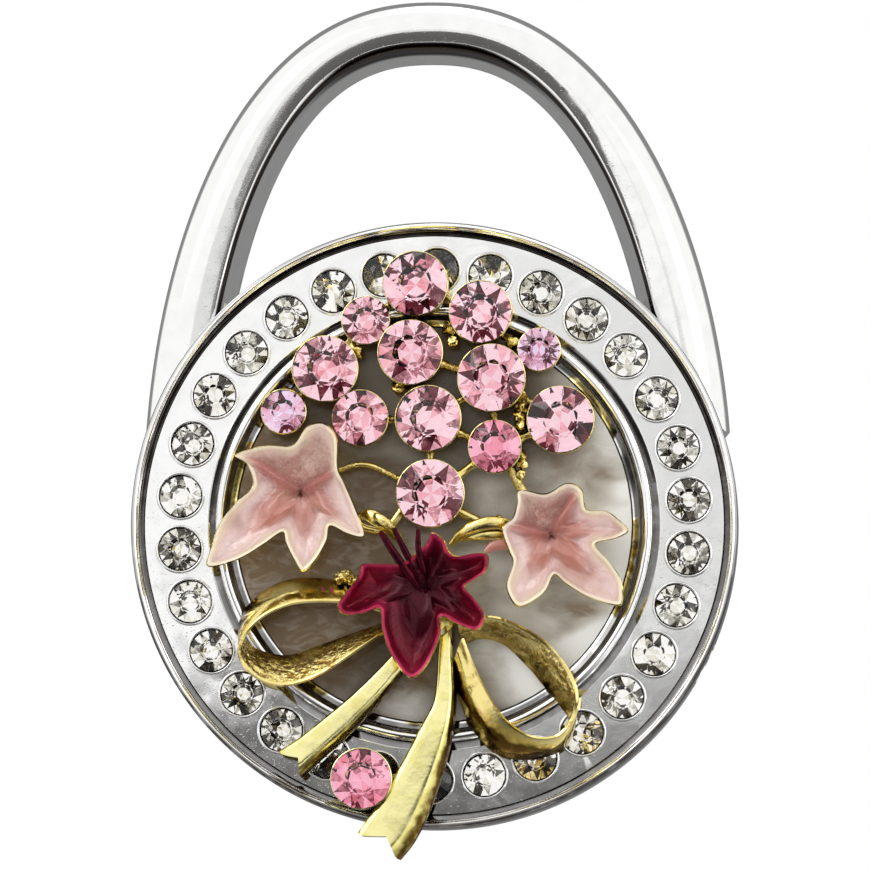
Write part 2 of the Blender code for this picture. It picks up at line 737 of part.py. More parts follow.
def make_pink_stones(hinge, materials):
    for number, cup in enumerate((*CUP_SHARES, RIM_CUP_SHARES), 1):
        bm = bmesh.new()
        x, y = on_face(cup)
        profile = stone_profile(cup_stone_radius(cup), cup_stone_girdle(cup))
        turned_into(bm, x, y, profile, SMALL_SIDES)
        piece_of(bm, f"pink_stone_{number:02d}", materials["pink"], hinge)


def guide_post(group, hinge, place, top):
    x, y = place
    guide(group, hinge, rod_into, (x, y, post_foot), (x, y, top), POST_RADIUS, SMALL_SIDES)


def tube_into(bm, places, level, radius):
    """Add a round stem that follows places on the face, mitred at each bend."""
    points = [Vector(place) for place in places]
    sections = []
    for before, point, after in zip(points[:1] + points, points, points[1:] + points[-1:]):
        along = (after - before).normalized()
        side = Vector((-along.y, along.x)) * radius
        ring = []
        for step in range(ROD_SIDES):
            angle = math.tau * step / ROD_SIDES
            ring.append((*(point + side * math.cos(angle)), level + radius * math.sin(angle)))
        sections.append(ring)
    loft_into(bm, sections)


def guide_stems(group, hinge):
    """Draw the bars between the cups and the stems to the lilies, each a little above the one before."""
    runs = []
    for first, second in JOINED_CUPS:
        near, far = CUP_SHARES[first - 1], CUP_SHARES[second - 1]
        a, b = Vector(on_face(near)), Vector(on_face(far))
        along = (b - a).normalized()
        a += along * (near[2] * RIM_RADIUS - STEM_BITE)
        b -= along * (far[2] * RIM_RADIUS - STEM_BITE)
        runs.append(([a, b], STEM_RADIUS))
    for shares in (LEFT_STEM_SHARES, RIGHT_STEM_SHARES, UPPER_STEM_SHARES):
        runs.append((face_outline(shares), STEM_RADIUS))
    runs.append((face_outline(WIRE_SHARES), TIE_RADIUS))
    for index, (places, radius) in enumerate(runs):
        level = bouquet_level + STEM_LIFT + radius + index * STEM_STAGGER
        guide(group, hinge, tube_into, places, level, radius)


def make_bouquet_frame(hinge, materials):
    """The gold casting that carries the stones and the two side lilies."""
    bm = bmesh.new()
    cup_into(bm, CUP_SHARES[0])
    frame = piece_of(bm, "bouquet_frame", materials["gold"], hinge)

    group = start_group("frame_shapes")
    for cup in CUP_SHARES[1:]:
        guide(group, hinge, cup_into, cup)
    guide_stems(group, hinge)
    for place in (LEFT_LILY_PLACE_SHARES, RIGHT_LILY_PLACE_SHARES):
        x, y = on_face(place)
        pad = ((x, y, bouquet_level), (x, y, lily_pad_top))
        guide(group, hinge, rod_into, *pad, LILY_PAD_RADIUS, SMALL_SIDES)
        guide_post(group, hinge, (x, y), bouquet_level + STEM_RADIUS)
    guide_post(group, hinge, on_face(CUP_SHARES[POSTED_CUP - 1]), bouquet_level + CUP_FLOOR / 2)
    join_group(frame, group)
    boolean(frame, make_cup_bores(hinge, "cup_bores", CUP_SHARES), "DIFFERENCE")


def make_lily(name, place, shares, foot, material, hinge):
    """A flower whose surface rises from its throat and turns down again to its petals' edges."""
    bm = bmesh.new()
    x, y = on_face(place)
    longest = max(math.hypot(*point) for point in shares)
    reaches = [math.hypot(*point) / longest for point in shares]

    def ring_of(out, at_notch, at_tip, drop):
        ring = []
        for (across, up), reach in zip(shares, reaches):
            level = foot + LILY_HEIGHT * (at_notch + (at_tip - at_notch) * reach) - drop
            ring.append(bm.verts.new((x + across * lily_size * out, y + up * lily_size * out, level)))
        return ring

    rings = [ring_of(out, notch, tip, 0) for out, notch, tip in PETAL_SHARES]
    rings.append(ring_of(1.0, *PETAL_SHARES[-1][1:], LILY_EDGE))
    rings.append(ring_of(FOOT_SHARE, 0, 0, 0))
    count = len(shares)
    for inside, outside in zip(rings, rings[1:]):
        for i in range(count):
            j = (i + 1) % count
            bm.faces.new((inside[i], inside[j], outside[j], outside[i]))
    throat = bm.verts.new((x, y, foot + LILY_HEIGHT * THROAT_SHARE))
    root = bm.verts.new((x, y, foot))
    for i in range(count):
        j = (i + 1) % count
        bm.faces.new((throat, rings[0][j], rings[0][i]))
        bm.faces.new((root, rings[-1][i], rings[-1][j]))
    piece_of(bm, name, material, hinge)


def make_lilies(hinge, materials):
    side_foot = lily_pad_top + SEAT_GAP
    make_lily("lily_left", LEFT_LILY_PLACE_SHARES, LEFT_LILY_SHARES, side_foot, materials["pearl"], hinge)
    make_lily("lily_right", RIGHT_LILY_PLACE_SHARES, RIGHT_LILY_SHARES, side_foot, materials["pearl"], hinge)
    make_lily(
        "lily_center",
        CENTRE_LILY_PLACE_SHARES,
        CENTRE_LILY_SHARES,
        knot_top + SEAT_GAP,
        materials["wine"],
        hinge,
    )


def loop_into(bm, shares):
    """Add a loop of ribbon, a strip with raised edges that follows its centre line."""
    points = [Vector(on_face(point)) for point in shares]
    sections = []
    for index, point in enumerate(points):
        before = points[max(index - 1, 0)]
        after = points[min(index + 1, len(points) - 1)]
        along = (after - before).normalized()
        side = Vector((-along.y, along.x)) * shares[index][2] * RIM_RADIUS
        sections.append(
            [(*(point + side * across), bouquet_level + RIBBON_RISE * up) for across, up in RIBBON_SECTION_SHARES]
        )
    loft_into(bm, sections)


def make_ribbon_bow(hinge, materials):
    """The gold bow: knot, two loops, two tails, and the cup at the rim that the long tail holds."""
    bm = bmesh.new()
    x, y = on_face(KNOT_PLACE_SHARES)
    rod_into(bm, (x, y, bouquet_level), (x, y, knot_top), KNOT_RADIUS, SMALL_SIDES)
    bow = piece_of(bm, "ribbon_bow", materials["gold"], hinge)

    group = start_group("bow_shapes")
    guide(group, hinge, loop_into, LEFT_LOOP_SHARES)
    guide(group, hinge, loop_into, RIGHT_LOOP_SHARES)
    for tail in (LEFT_TAIL_SHARES, RIGHT_TAIL_SHARES):
        guide(group, hinge, prism_into, face_outline(tail), bouquet_level, bouquet_level + TAIL_RISE)
    guide(group, hinge, cup_into, RIM_CUP_SHARES)
    tie_level = bouquet_level + STEM_LIFT + STEM_RADIUS
    guide(group, hinge, tube_into, face_outline(RIM_CUP_TIE_SHARES), tie_level, STEM_RADIUS)
    guide_post(group, hinge, (x, y), bouquet_level + RIBBON_RISE / 2)
    join_group(bow, group)
    boolean(bow, make_cup_bores(hinge, "rim_cup_bore", [RIM_CUP_SHARES]), "DIFFERENCE")


def make_empties():
    """The empty that puts the strap's resting place at the origin, and one on the hinge's axis for the disc."""
    hanger = bpy.data.objects.new("hanger", None)
    hinge = bpy.data.objects.new("hinge", None)
    for empty in (hanger, hinge):
        bpy.context.scene.collection.objects.link(empty)
    hanger.location = UPRIGHT @ -Vector((0, strap_line, hinge_z))
    hinge.parent = hanger
    hinge.location = UPRIGHT @ Vector((hinge_x, 0, hinge_z))
    return hanger, hinge


def main():
    clear_scene()
    materials = make_materials()
    hanger, hinge = make_empties()
    make_disc_body(hinge, materials)
    make_back_plate(hinge, materials)
    make_grip_pad(hinge, materials)
    make_shell_inlay(hinge, materials)
    make_hinge_pin(hinge, materials)
    make_magnet(hinge, materials)
    make_shackle(hanger, materials)
    make_keeper(hanger, materials)
    make_clear_stones(hinge, materials)
    make_pink_stones(hinge, materials)
    make_bouquet_frame(hinge, materials)
    make_lilies(hinge, materials)
    make_ribbon_bow(hinge, materials)
    bpy.context.view_layer.update()


main()
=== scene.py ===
"""A folding bag hanger in padlock form, dressed for its picture.

Shapes are drawn lying on their back, in metres: X to the right, Y up the face, Z towards the viewer, with
the grip pad's face at Z = 0 and the disc's middle at X = Y = 0. stand_up() puts them where the solids are.
"""

import json
import math
import random

import bmesh
import bpy
from mathutils import Matrix, Vector, kdtree, noise

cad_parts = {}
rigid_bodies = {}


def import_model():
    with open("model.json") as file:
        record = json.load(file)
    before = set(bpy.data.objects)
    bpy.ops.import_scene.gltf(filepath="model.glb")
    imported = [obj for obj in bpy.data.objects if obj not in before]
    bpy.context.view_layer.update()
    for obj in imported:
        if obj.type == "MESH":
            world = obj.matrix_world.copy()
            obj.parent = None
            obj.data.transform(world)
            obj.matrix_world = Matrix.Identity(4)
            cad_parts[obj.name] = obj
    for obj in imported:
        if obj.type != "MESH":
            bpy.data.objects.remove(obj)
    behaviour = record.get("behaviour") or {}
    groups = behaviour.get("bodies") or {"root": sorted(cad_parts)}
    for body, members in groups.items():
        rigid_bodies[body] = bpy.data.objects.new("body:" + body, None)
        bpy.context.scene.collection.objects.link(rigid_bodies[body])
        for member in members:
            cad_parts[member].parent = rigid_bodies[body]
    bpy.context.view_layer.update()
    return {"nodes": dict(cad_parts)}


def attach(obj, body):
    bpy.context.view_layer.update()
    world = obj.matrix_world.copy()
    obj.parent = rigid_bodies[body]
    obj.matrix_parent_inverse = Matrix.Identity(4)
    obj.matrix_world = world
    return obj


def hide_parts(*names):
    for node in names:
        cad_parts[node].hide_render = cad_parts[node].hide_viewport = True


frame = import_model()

bl_info = {
    "name": "Purse Hook",
    "version": (1, 0, 0),
    "blender": (4, 5, 0),
    "location": "View3D > Sidebar > Purse Hook",
    "description": "Builds a jewelled folding bag hanger with its studio",
    "category": "Add Mesh",
}

MM = 0.001
UP = Vector((0, 0, 1))
DISC_BODY = "disc_assembly"
SHACKLE_BODY = "shackle_body"


# User values


def length(name, description, default):
    return bpy.props.FloatProperty(
        name=name,
        description=description,
        default=default,
        min=0.0,
        precision=5,
        unit="LENGTH",
        subtype="DISTANCE",
    )


def angle(name, description, degrees):
    return bpy.props.FloatProperty(
        name=name,
        description=description,
        default=math.radians(degrees),
        unit="ROTATION",
        subtype="ANGLE",
    )


def colour(name, description, default):
    return bpy.props.FloatVectorProperty(
        name=name,
        description=description,
        default=default,
        size=3,
        min=0.0,
        max=1.0,
        subtype="COLOR",
    )


def amount(name, description, default):
    return bpy.props.FloatProperty(name=name, description=description, default=default, min=0.0, precision=3)


class PurseHookDiscSizes(bpy.types.PropertyGroup):
    """Sizes of the jewelled disc"""

    rim_radius: length("Rim radius", "Radius of the disc's outer edge", 0.0225)
    face_level: length("Face level", "Height of the stone channel's floor over the pad", 0.0070)
    flange_under: length("Flange underside", "Height of the face plate's back over the pad", 0.0047)
    back_level: length("Back level", "Height of the disc's back over the pad", 0.0010)
    plate_radius: length("Back plate radius", "Radius of the plate in the disc's back", 0.0137)
    cavity_radius: length("Cavity radius", "Radius of the hollow under the plate", 0.0117)
    pad_radius: length("Pad radius", "Radius of the grip pad", 0.0129)
    pad_thickness: length("Pad thickness", "Thickness of the grip pad", 0.0009)
    seat_gap: length("Seat gap", "Clearance round a stone, plate or inlay", 0.0001)


class PurseHookShackleSizes(bpy.types.PropertyGroup):
    """Sizes of the shackle and its hinge"""

    half_width: length("Half width", "Half the shackle's width at its legs", 0.0220)
    rise: length("Rise", "Height of the arch over its spring line", 0.0376)
    spring_line: length("Spring line", "Height over the disc's middle where the arch begins", 0.0020)
    leg_width: length("Leg width", "Width of the bar at the legs", 0.0055)
    crown_width: length("Crown width", "Width of the bar at the top", 0.0046)
    lean: length("Lean", "How far the arch's top stands to the left", 0.0005)
    thickness: length("Thickness", "Depth of the bar from back to front", 0.0040)
    lift: length("Lift", "Height of the bar's back over the pad", 0.0004)
    hinge_inset: length("Hinge inset", "Distance of the hinge's axis from the disc's edge", 0.0025)
    knuckle_radius: length("Knuckle radius", "Radius of the barrel round the pin", 0.0017)
    pin_hole_radius: length("Pin hole radius", "Radius of the hole for the pin", 0.00085)


class PurseHookStoneSizes(bpy.types.PropertyGroup):
    """Sizes and number of the stones"""

    clear_radius: length("Clear stone radius", "Radius of a clear stone", 0.00155)
    clear_circle: length("Clear stone circle", "Radius of the circle of clear stones", 0.01895)
    clear_count: bpy.props.IntProperty(
        name="Clear stones", description="Number of stones on the circle", default=30, min=3
    )
    cup_wall: length("Cup wall", "Wall of a pink stone's cup", 0.00012)
    cup_gap: length("Cup gap", "Clearance between a pink stone and its cup", 0.00006)
    cup_floor: length("Cup floor", "Thickness of a cup's floor", 0.00035)


class PurseHookColours(bpy.types.PropertyGroup):
    """Colours of the finishes"""

    chrome: colour("Chrome", "Plate on the disc and the shackle", (0.965, 0.962, 0.955))
    gold: colour("Gold", "Plate on the bouquet and the bow", (0.96, 0.80, 0.32))
    # Paler than the gold, partly a painted highlight on the tails
    satin: colour("Satin gold", "Gold plate of the ribbon's tails", (0.985, 0.91, 0.43))
    tarnish: colour("Tarnish", "Gold in grooves and on rough places", (0.33, 0.18, 0.03))
    shell_pale: colour("Shell, pale", "Light clouds of the inlay", (0.74, 0.72, 0.66))
    shell_dark: colour("Shell, dark", "Dark clouds of the inlay", (0.19, 0.115, 0.045))
    # The dusting is made lighter than the bowls' enamel, partly as a painted sheen of their glitter
    dust: colour("Dusting", "Sparkling dust in the bowls of the side lilies", (1.0, 0.66, 0.56))
    petal: colour("Petal", "Pearly enamel of the side lilies", (0.86, 0.66, 0.62))
    throat: colour("Throat", "Coral enamel in the side lilies' throats", (0.60, 0.19, 0.16))
    petal_edge: colour("Petal edge", "Creamy edge of the side lilies", (0.92, 0.82, 0.56))
    petal_fold_shade: colour("Petal fold", "Shaded folds of the side lilies", (0.46, 0.22, 0.15))
    wine: colour("Wine", "Enamel of the middle lily", (0.21, 0.002, 0.018))
    wine_edge: colour("Wine edge", "Lit edges of the middle lily", (0.52, 0.03, 0.10))
    clear_glass: colour("Clear glass", "Tint of the clear stones", (1.0, 0.985, 0.96))
    pink_glass: colour("Pink glass", "Tint of the pink stones", (1.0, 0.74, 0.79))
    rubber: colour("Rubber", "Grip pad", (0.022, 0.022, 0.024))
    steel: colour("Steel", "Plate, pin, magnet and keeper", (0.56, 0.56, 0.57))


class PurseHookStudio(bpy.types.PropertyGroup):
    """Camera, lamps and floor"""

    camera_distance: length("Camera distance", "From the camera to the disc", 0.80)
    camera_azimuth: angle("Camera azimuth", "Turn of the camera to the right", 3.0)
    camera_elevation: angle("Camera elevation", "Height angle of the camera", -5.0)
    frame_width: length("Frame width", "Width that the picture shows at the disc's face", 0.06447)
    key_power: amount("Key lamp", "Power of the main lamp, in watts", 1.3)
    fill_power: amount("Fill lamp", "Power of the second lamp, in watts", 0.7)
    top_power: amount("Top lamp", "Power of the lamp overhead, in watts", 0.9)
    ambient: amount("Room light", "Strength of the light from all sides", 0.75)
    floor_drop: length("Floor drop", "From the shackle's top to the floor", 0.115)


def sizes():
    scene = bpy.context.scene
    return scene.purse_hook_disc, scene.purse_hook_shackle, scene.purse_hook_stones


# Measured shapes, in millimetres on the disc's face or as shares of a named size

# Profile of the face: distance in from the rim, and height over the channel's floor
RIM_PROFILE_MM = (
    (0.0, -2.3), (0.0, 0.18), (0.05, 0.34), (0.13, 0.47), (0.22, 0.56), (0.30, 0.60), (0.38, 0.56),
    (0.47, 0.47), (0.55, 0.34), (0.60, 0.18), (0.62, -0.28), (0.66, -0.30), (0.94, -0.30), (0.98, -0.27),
    (1.0, -0.05), (1.04, 0.0),
)
RING_PROFILE_MM = (
    (5.70, 0.0), (5.71, -0.28), (5.75, -0.30), (6.26, -0.30), (6.30, -0.26), (6.30, 0.38), (6.35, 0.56),
    (6.44, 0.70), (6.56, 0.78), (6.70, 0.80), (6.84, 0.78), (6.96, 0.70), (7.05, 0.56), (7.12, 0.38),
    (7.30, 0.16), (7.74, 0.03), (7.75, 0.0), (7.75, -1.1),
)
# Rings of painted shade in the face's grooves and on the rim's outer edge: how far in from the rim each ends
# and begins, and how dark it is above and below
SHADED_GROOVES_MM = (
    (0.98, 0.60, 0.95, 0.55),
    (6.26, 5.78, 0.9, 0.7),
    (7.62, 6.90, 0.88, 0.8),
    (0.22, -0.3, 0.3, 0.97),
)
GROOVE_SOFTNESS_MM = 0.06
DISC_SIDES = 216
# The body behind the face: inset and chamfer of its side, thickness of the back plate, thickness of the face
SIDE_INSET_MM = 0.1
BACK_CHAMFER_MM = 0.6
PLATE_MM = 0.9
FACE_MM = 2.9
# How far the first clear stone stands to the right of the top, in degrees
FIRST_STONE_TURN = 0.7
# A clear stone's seat: play, depth of its straight wall, radius of its floor
SEAT_PLAY_MM = 0.05
SEAT_WALL_MM = 0.2
SEAT_FLOOR_MM = 0.25
SEAT_SIDES = 28
# The lip round a seat: distance out from the stone, half its width, half its height
SEAT_LIP_MM = (0.15, 0.10, 0.12)
# Its sides: how many along it and how many round its section
SEAT_LIP_SIDES = (40, 8)

# Section of the shackle's bar, from the inner edge: shares of its width and thickness
BAR_SHARES = (
    (0.10, 0.0), (0.015, 0.05), (0.0, 0.14), (0.075, 0.45), (0.14, 0.70), (0.162, 0.80), (0.172, 0.865),
    (0.185, 0.913), (0.208, 0.948), (0.245, 0.966), (0.30, 0.975), (0.37, 0.985), (0.45, 0.995),
    (0.53, 1.0), (0.62, 0.992), (0.70, 0.965), (0.78, 0.91), (0.86, 0.825), (0.925, 0.71), (0.97, 0.58),
    (0.993, 0.47), (1.0, 0.36), (0.993, 0.22), (0.97, 0.10), (0.94, 0.03), (0.88, 0.0),
)
# Points of that section that take painted shade: along the whole corner, and at the crown alone
CORNER_POINTS = (6, 7, 8)
CROWN_POINTS = (4, 5, 9)
WALL_SLOPE_SHARE = 0.15
# How full the arch is in its shoulders, where 2 is an ellipse
OUTER_FULLNESS = 2.25
INNER_FULLNESS = 2.4
ARCH_STATIONS = 200
# The free leg: how far its tip lies under the spring line, how far it is rounded, and its play in the disc
LEG_TIP_MM = 5.0
LEG_ROUNDING_MM = 0.9
LEG_PLAY_MM = 0.4
# The hinged leg, up the face from the disc's middle: where its arch ends and how far its bar reaches
FOOT_MM = 6.1
LEG_BAR_TOP_MM = 7.2
# How far that foot is cut back, so that it goes out of sight behind the disc
FOOT_CHAMFER_MM = 0.5

# The hinge's parts up the face from the disc's middle, from and to
KNUCKLE_MM = (-1.7, 2.7)
EAR_MM = (3.0, 5.5)
POCKET_FOOT_MM = -2.0
PIN_HOLE_TOP_MM = 6.5
PIN_TOP_MM = 5.5
PIN_PLAY_MM = 0.05
PIN_MARGIN_MM = 0.3
# Between leg and barrel: the gap for the ear, half the web's height as a share of the barrel's radius, and
# the height of the leg's lower bar as a share of the shackle's thickness
EAR_GAP_MM = 0.3
WEB_SHARE = 0.8
LEG_BAR_SHARE = 0.74
HOLE_SIDES = 32
# The holes for magnet and keeper lie on one line, this far up the face
LATCH_MM = 0.5
# The magnet's hole across the face, from, to and radius
MAGNET_HOLE_MM = (-16.6, -14.7, 1.1)
# The keeper's hole: how far before the leg it begins, how far into its wall it goes, and its radius
KEEPER_HOLE_MM = (0.4, 1.5, 0.9)

# Pink stones' cups: centre and radius
CUPS_MM = (
    (-1.215, 17.640, 2.446), (3.600, 15.525, 2.363), (-4.928, 14.963, 1.816), (-1.598, 12.533, 2.446),
    (-7.898, 11.340, 2.482), (4.410, 10.598, 2.556), (7.898, 12.758, 1.631), (-0.270, 7.628, 2.482),
    (-5.310, 7.718, 2.113), (-11.003, 8.235, 1.706), (9.518, 7.493, 2.520), (4.635, 5.558, 2.000),
    (-0.113, 2.070, 2.556),
)
RIM_CUP_MM = (-5.220, -18.968, 2.295)
# Stones of deeper and of more violet glass, and how their glass differs from the others'
DEEP_PINK = (12, 14)
DEEP_PINK_SHARES = (0.97, 0.66, 0.78)
VIOLET_PINK = (7, 10)
VIOLET_PINK_SHARES = (0.88, 1.02, 1.18)
# How bright a facet's foil is painted, standing for the reflection of dark or bright surroundings: the mostly
# dark facets and the mostly bright ones
FACET_REFLECTION_TONES = ((0.0, 0.25, 0.8, 1.0), (0.5, 1.0, 1.0, 1.0))
# A cut stone in shares of its radius: radius and height of each ring, and the depth of its point
TABLE_SHARES = (0.54, 0.28)
STAR_SHARES = (0.74, 0.18)
GIRDLE_SHARES = (1.0, 0.0)
GIRDLE_FOOT_SHARES = (1.0, -0.05)
BACK_SHARES = (0.42, -0.52)
STONE_DEPTH_SHARE = 0.86
GLASS_SLOT, FOIL_SLOT = 0, 1
# Degrees between two faces that count as an edge, on a stone
FACET_EDGE = 0.5
JOINED_CUPS = (
    (1, 2), (1, 3), (1, 4), (3, 4), (3, 5), (2, 6), (4, 6), (4, 8), (5, 9), (5, 10), (6, 7), (6, 8), (6, 11),
    (6, 12), (8, 9), (8, 12), (8, 13), (11, 12), (12, 13),
)
BOUQUET_LEVEL_MM = 7.95
STEM_RADIUS_MM = 0.35
STEMS_MM = (
    (0.35, (-2.0, 1.4), (-3.8, -0.5), (-6.8, 0.5), (-9.0, 2.0)),
    (0.35, (1.8, 0.9), (4.3, -0.2), (6.5, -0.3), (8.4, -0.9)),
    (0.38, (5.6, 4.3), (6.5, 2.6), (7.4, 1.2), (8.4, -0.6)),
    (0.24, (-8.3, 3.15), (-6.6, 4.1), (-4.8, 4.35), (-2.3, 3.2)),
)
BEADS_MM = (
    (-5.9, 13.1, 0.45), (-5.5, 12.6, 0.34), (-2.5, 10.0, 0.42), (-2.0, 10.2, 0.33), (1.6, 7.8, 0.38),
    (6.5, 9.3, 0.40), (6.6, 8.6, 0.42), (6.4, 7.9, 0.40), (6.5, 7.2, 0.36), (1.2, 14.4, 0.40),
    (1.5, 13.5, 0.36), (5.9, 13.3, 0.38), (6.4, 5.0, 0.36), (6.6, 4.3, 0.34), (6.5, 3.6, 0.32),
    (-6.3, -4.0, 0.42), (-6.9, -4.1, 0.36), (-5.8, -4.3, 0.34), (4.9, 0.1, 0.36),
)
# Gold leaves: half width, height over the bouquet's foot, then the line they follow
LEAVES_MM = (
    (0.55, 1.5, (-5.6, 0.6), (-4.6, 0.5), (-3.5, -0.2), (-2.5, -1.2)),
    (0.34, 1.9, (-4.9, 0.7), (-3.9, 0.3), (-2.9, -0.5), (-2.2, -1.4)),
    (0.50, 1.6, (1.3, -1.6), (2.4, -0.7), (4.1, -0.1), (5.6, -0.2), (6.6, -0.6)),
    (0.40, 1.2, (1.8, -1.2), (3.2, -1.0), (4.9, -0.9), (6.0, -1.2)),
)
# The posts that hold the bouquet and the bow, and their holes: radius, and depth under the channel's floor
POST_MM = (0.6, 2.3)
POST_HOLE_MM = (0.7, 2.4)

# Lilies: an outline round the throat in shares of the lily's size, as the solids have
LILY_SIZE_MM = 6.669
LILY_HEIGHT_MM = 2.6
SIDE_LILY_FOOT_MM = 9.10
CENTRE_LILY_FOOT_MM = 9.75
LEFT_LILY_MM = (-9.675, 2.228)
RIGHT_LILY_MM = (8.775, -0.968)
CENTRE_LILY_MM = (-0.338, -4.883)
LEFT_LILY_SHARES = (
    (-0.714, 0.398), (-0.373, 0.497), (-0.089, 0.497), (0.067, 0.694), (0.252, 0.738), (0.396, 0.584),
    (0.407, 0.254), (0.483, 0.079), (0.614, -0.229), (0.702, -0.492), (0.527, -0.471), (0.329, -0.383),
    (0.286, -0.548), (0.176, -0.744), (0.033, -0.878), (-0.067, -0.744), (-0.153, -0.570),
    (-0.198, -0.449), (-0.418, -0.591), (-0.681, -0.744), (-1.011, -0.822), (-0.967, -0.591),
    (-0.879, -0.350), (-0.681, -0.108), (-0.511, 0.067), (-0.593, 0.320),
)
RIGHT_LILY_SHARES = (
    (-0.333, 0.471), (-0.052, 0.424), (0.181, 0.541), (0.344, 0.471), (0.392, 0.260), (0.602, 0.237),
    (0.742, 0.143), (0.848, 0.027), (0.719, -0.056), (0.486, -0.126), (0.649, -0.324), (0.767, -0.511),
    (0.789, -0.733), (0.719, -0.792), (0.416, -0.699), (0.181, -0.558), (0.041, -0.453), (-0.052, -0.628),
    (-0.193, -0.744), (-0.333, -0.803), (-0.427, -0.722), (-0.473, -0.558), (-0.403, -0.324),
    (-0.450, -0.184), (-0.520, 0.050), (-0.403, 0.167), (-0.357, 0.330),
)
CENTRE_LILY_SHARES = (
    (0.067, 0.578), (0.0, 0.456), (-0.111, 0.356), (-0.278, 0.244), (-0.533, 0.244), (-0.700, 0.233),
    (-0.744, 0.100), (-0.900, -0.100), (-0.971, -0.228), (-0.878, -0.311), (-0.678, -0.289),
    (-0.511, -0.244), (-0.478, -0.467), (-0.389, -0.733), (-0.189, -1.0), (-0.011, -0.889),
    (0.144, -0.556), (0.161, -0.333), (0.333, -0.411), (0.522, -0.483), (0.611, -0.433), (0.633, -0.300),
    (0.522, -0.133), (0.422, -0.011), (0.544, 0.078), (0.656, 0.167), (0.667, 0.333), (0.544, 0.356),
    (0.333, 0.322), (0.244, 0.378), (0.189, 0.500),
)
# Height of a petal's trough along a line from the throat, in shares of the lily's height
TROUGH = ((0.0, 0.36), (0.10, 0.50), (0.30, 0.56), (0.60, 0.34), (0.85, 0.34), (1.0, 0.38))
RIM_RISE = 0.38
RIM_WIDTH_MM = 1.5
LIP_RISE = 0.07
LIP_WIDTH_MM = 1.3
SEAM_RISE = 0.30
SEAM_WIDTH_MM = 0.32
BOWL_DEPTH = 0.16
# Directions, in degrees, of the two seams that close in the bowl of each flower
LEFT_BOWL = (32, 147)
RIGHT_BOWL = (57, 167)
CENTRE_BOWL = (62, 118)
LILY_RINGS = 44
LILY_EDGE_MM = 0.5
# Its rounding: how far down each ring lies, as a share of that edge, and how far out, in millimetres
LILY_EDGE_RINGS = ((0.25, 0.03), (0.45, 0.12), (0.8, 0.12), (1.0, 0.0))
SEPAL_MM = ((6.1, -2.1), (5.2, -1.75), (4.5, -1.85), (3.9, -2.25))
STAMENS_MM = (
    (0.26, (-3.7, -0.9), (-2.6, -2.6), (-1.3, -4.4), (-0.5, -5.5)),
    (0.22, (-2.7, -0.6), (-1.9, -2.3), (-1.0, -4.0), (-0.3, -5.4)),
    (0.20, (-0.9, -0.7), (-0.9, -2.2), (-0.5, -3.9), (0.0, -5.3)),
)

# Bow loops: the far edge of the ribbon against the disc, and the near edge over it
LEFT_FAR_MM = (
    (-2.2, -5.6), (-4.2, -4.8), (-6.2, -4.35), (-8.7, -4.05), (-10.65, -4.15), (-12.4, -4.9),
    (-13.7, -6.15), (-14.3, -7.5), (-14.0, -8.5), (-13.2, -9.2), (-12.1, -9.6), (-10.5, -9.73),
    (-8.3, -9.0), (-5.8, -8.1), (-3.6, -7.4), (-1.6, -6.8),
)
LEFT_NEAR_MM = (
    (-2.2, -7.2), (-4.2, -6.5), (-6.2, -6.0), (-8.7, -5.9), (-10.65, -6.15), (-12.4, -6.95),
    (-13.7, -8.2), (-14.2, -9.5), (-13.9, -10.6), (-13.1, -11.4), (-12.0, -11.95), (-10.4, -12.05),
    (-8.2, -11.25), (-5.8, -9.7), (-3.65, -8.3), (-1.6, -7.3),
)
RIGHT_NEAR_MM = (
    (1.9, -7.6), (3.9, -7.04), (5.69, -7.4), (8.03, -8.65), (9.3, -9.9), (10.2, -11.2), (10.69, -12.6),
    (10.54, -14.0), (9.83, -15.3), (8.93, -15.93), (7.49, -15.93), (6.23, -15.3), (4.98, -14.13),
    (3.9, -12.4), (3.0, -10.45), (2.28, -8.65),
)
RIGHT_FAR_MM = (
    (2.0, -9.0), (3.6, -8.5), (5.3, -9.0), (7.0, -10.6), (8.0, -11.8), (9.2, -13.2), (10.0, -14.4),
    (10.2, -15.5), (9.6, -16.6), (8.6, -17.15), (7.2, -17.45), (5.7, -17.37), (4.26, -16.74),
    (3.0, -15.3), (2.1, -13.5), (1.4, -11.0),
)
# The points of each loop's section on its rough side, and the stretch of its smooth side where a dark
# reflection is painted
LEFT_LOOP_SIDES = ((5, 6), (0.40, 0.47))
RIGHT_LOOP_SIDES = ((0, 1), (0.62, 0.80))
LOOP_RISE_MM = 2.1
RIBBON_THICKNESS_MM = 0.34
# The ribbon is satin gold, slot 0, but for its loops, rough inside and bright outside
ROUGH_SLOT, BRIGHT_SLOT = 1, 2
# Tails: the two edges from knot to tips
LEFT_TAIL_MM = (
    (
        (-1.1, -7.3), (-2.2, -8.6), (-3.46, -10.27), (-5.8, -12.6), (-8.13, -14.58), (-10.2, -16.2),
        (-11.55, -17.0),
    ),
    (
        (0.2, -8.4), (-1.2, -9.9), (-2.48, -11.53), (-3.9, -13.3), (-6.3, -15.8), (-8.3, -17.6),
        (-9.84, -19.07),
    ),
)
RIGHT_TAIL_MM = (
    (
        (0.55, -7.4), (0.40, -9.6), (0.13, -12.97), (-0.77, -14.94), (-2.75, -18.7), (-4.5, -21.5),
        (-5.62, -23.2),
    ),
    (
        (1.5, -7.4), (1.62, -9.6), (1.75, -13.2), (1.30, -16.56), (0.13, -20.5), (-1.2, -23.4),
        (-2.57, -25.18),
    ),
)
# How deep a tail's end is notched and how far its corners are rounded, as shares of its length
TAIL_NOTCH_SHARE = 0.10
TAIL_ROUNDING_SHARE = 0.025
TAIL_RISE_MM = 0.9
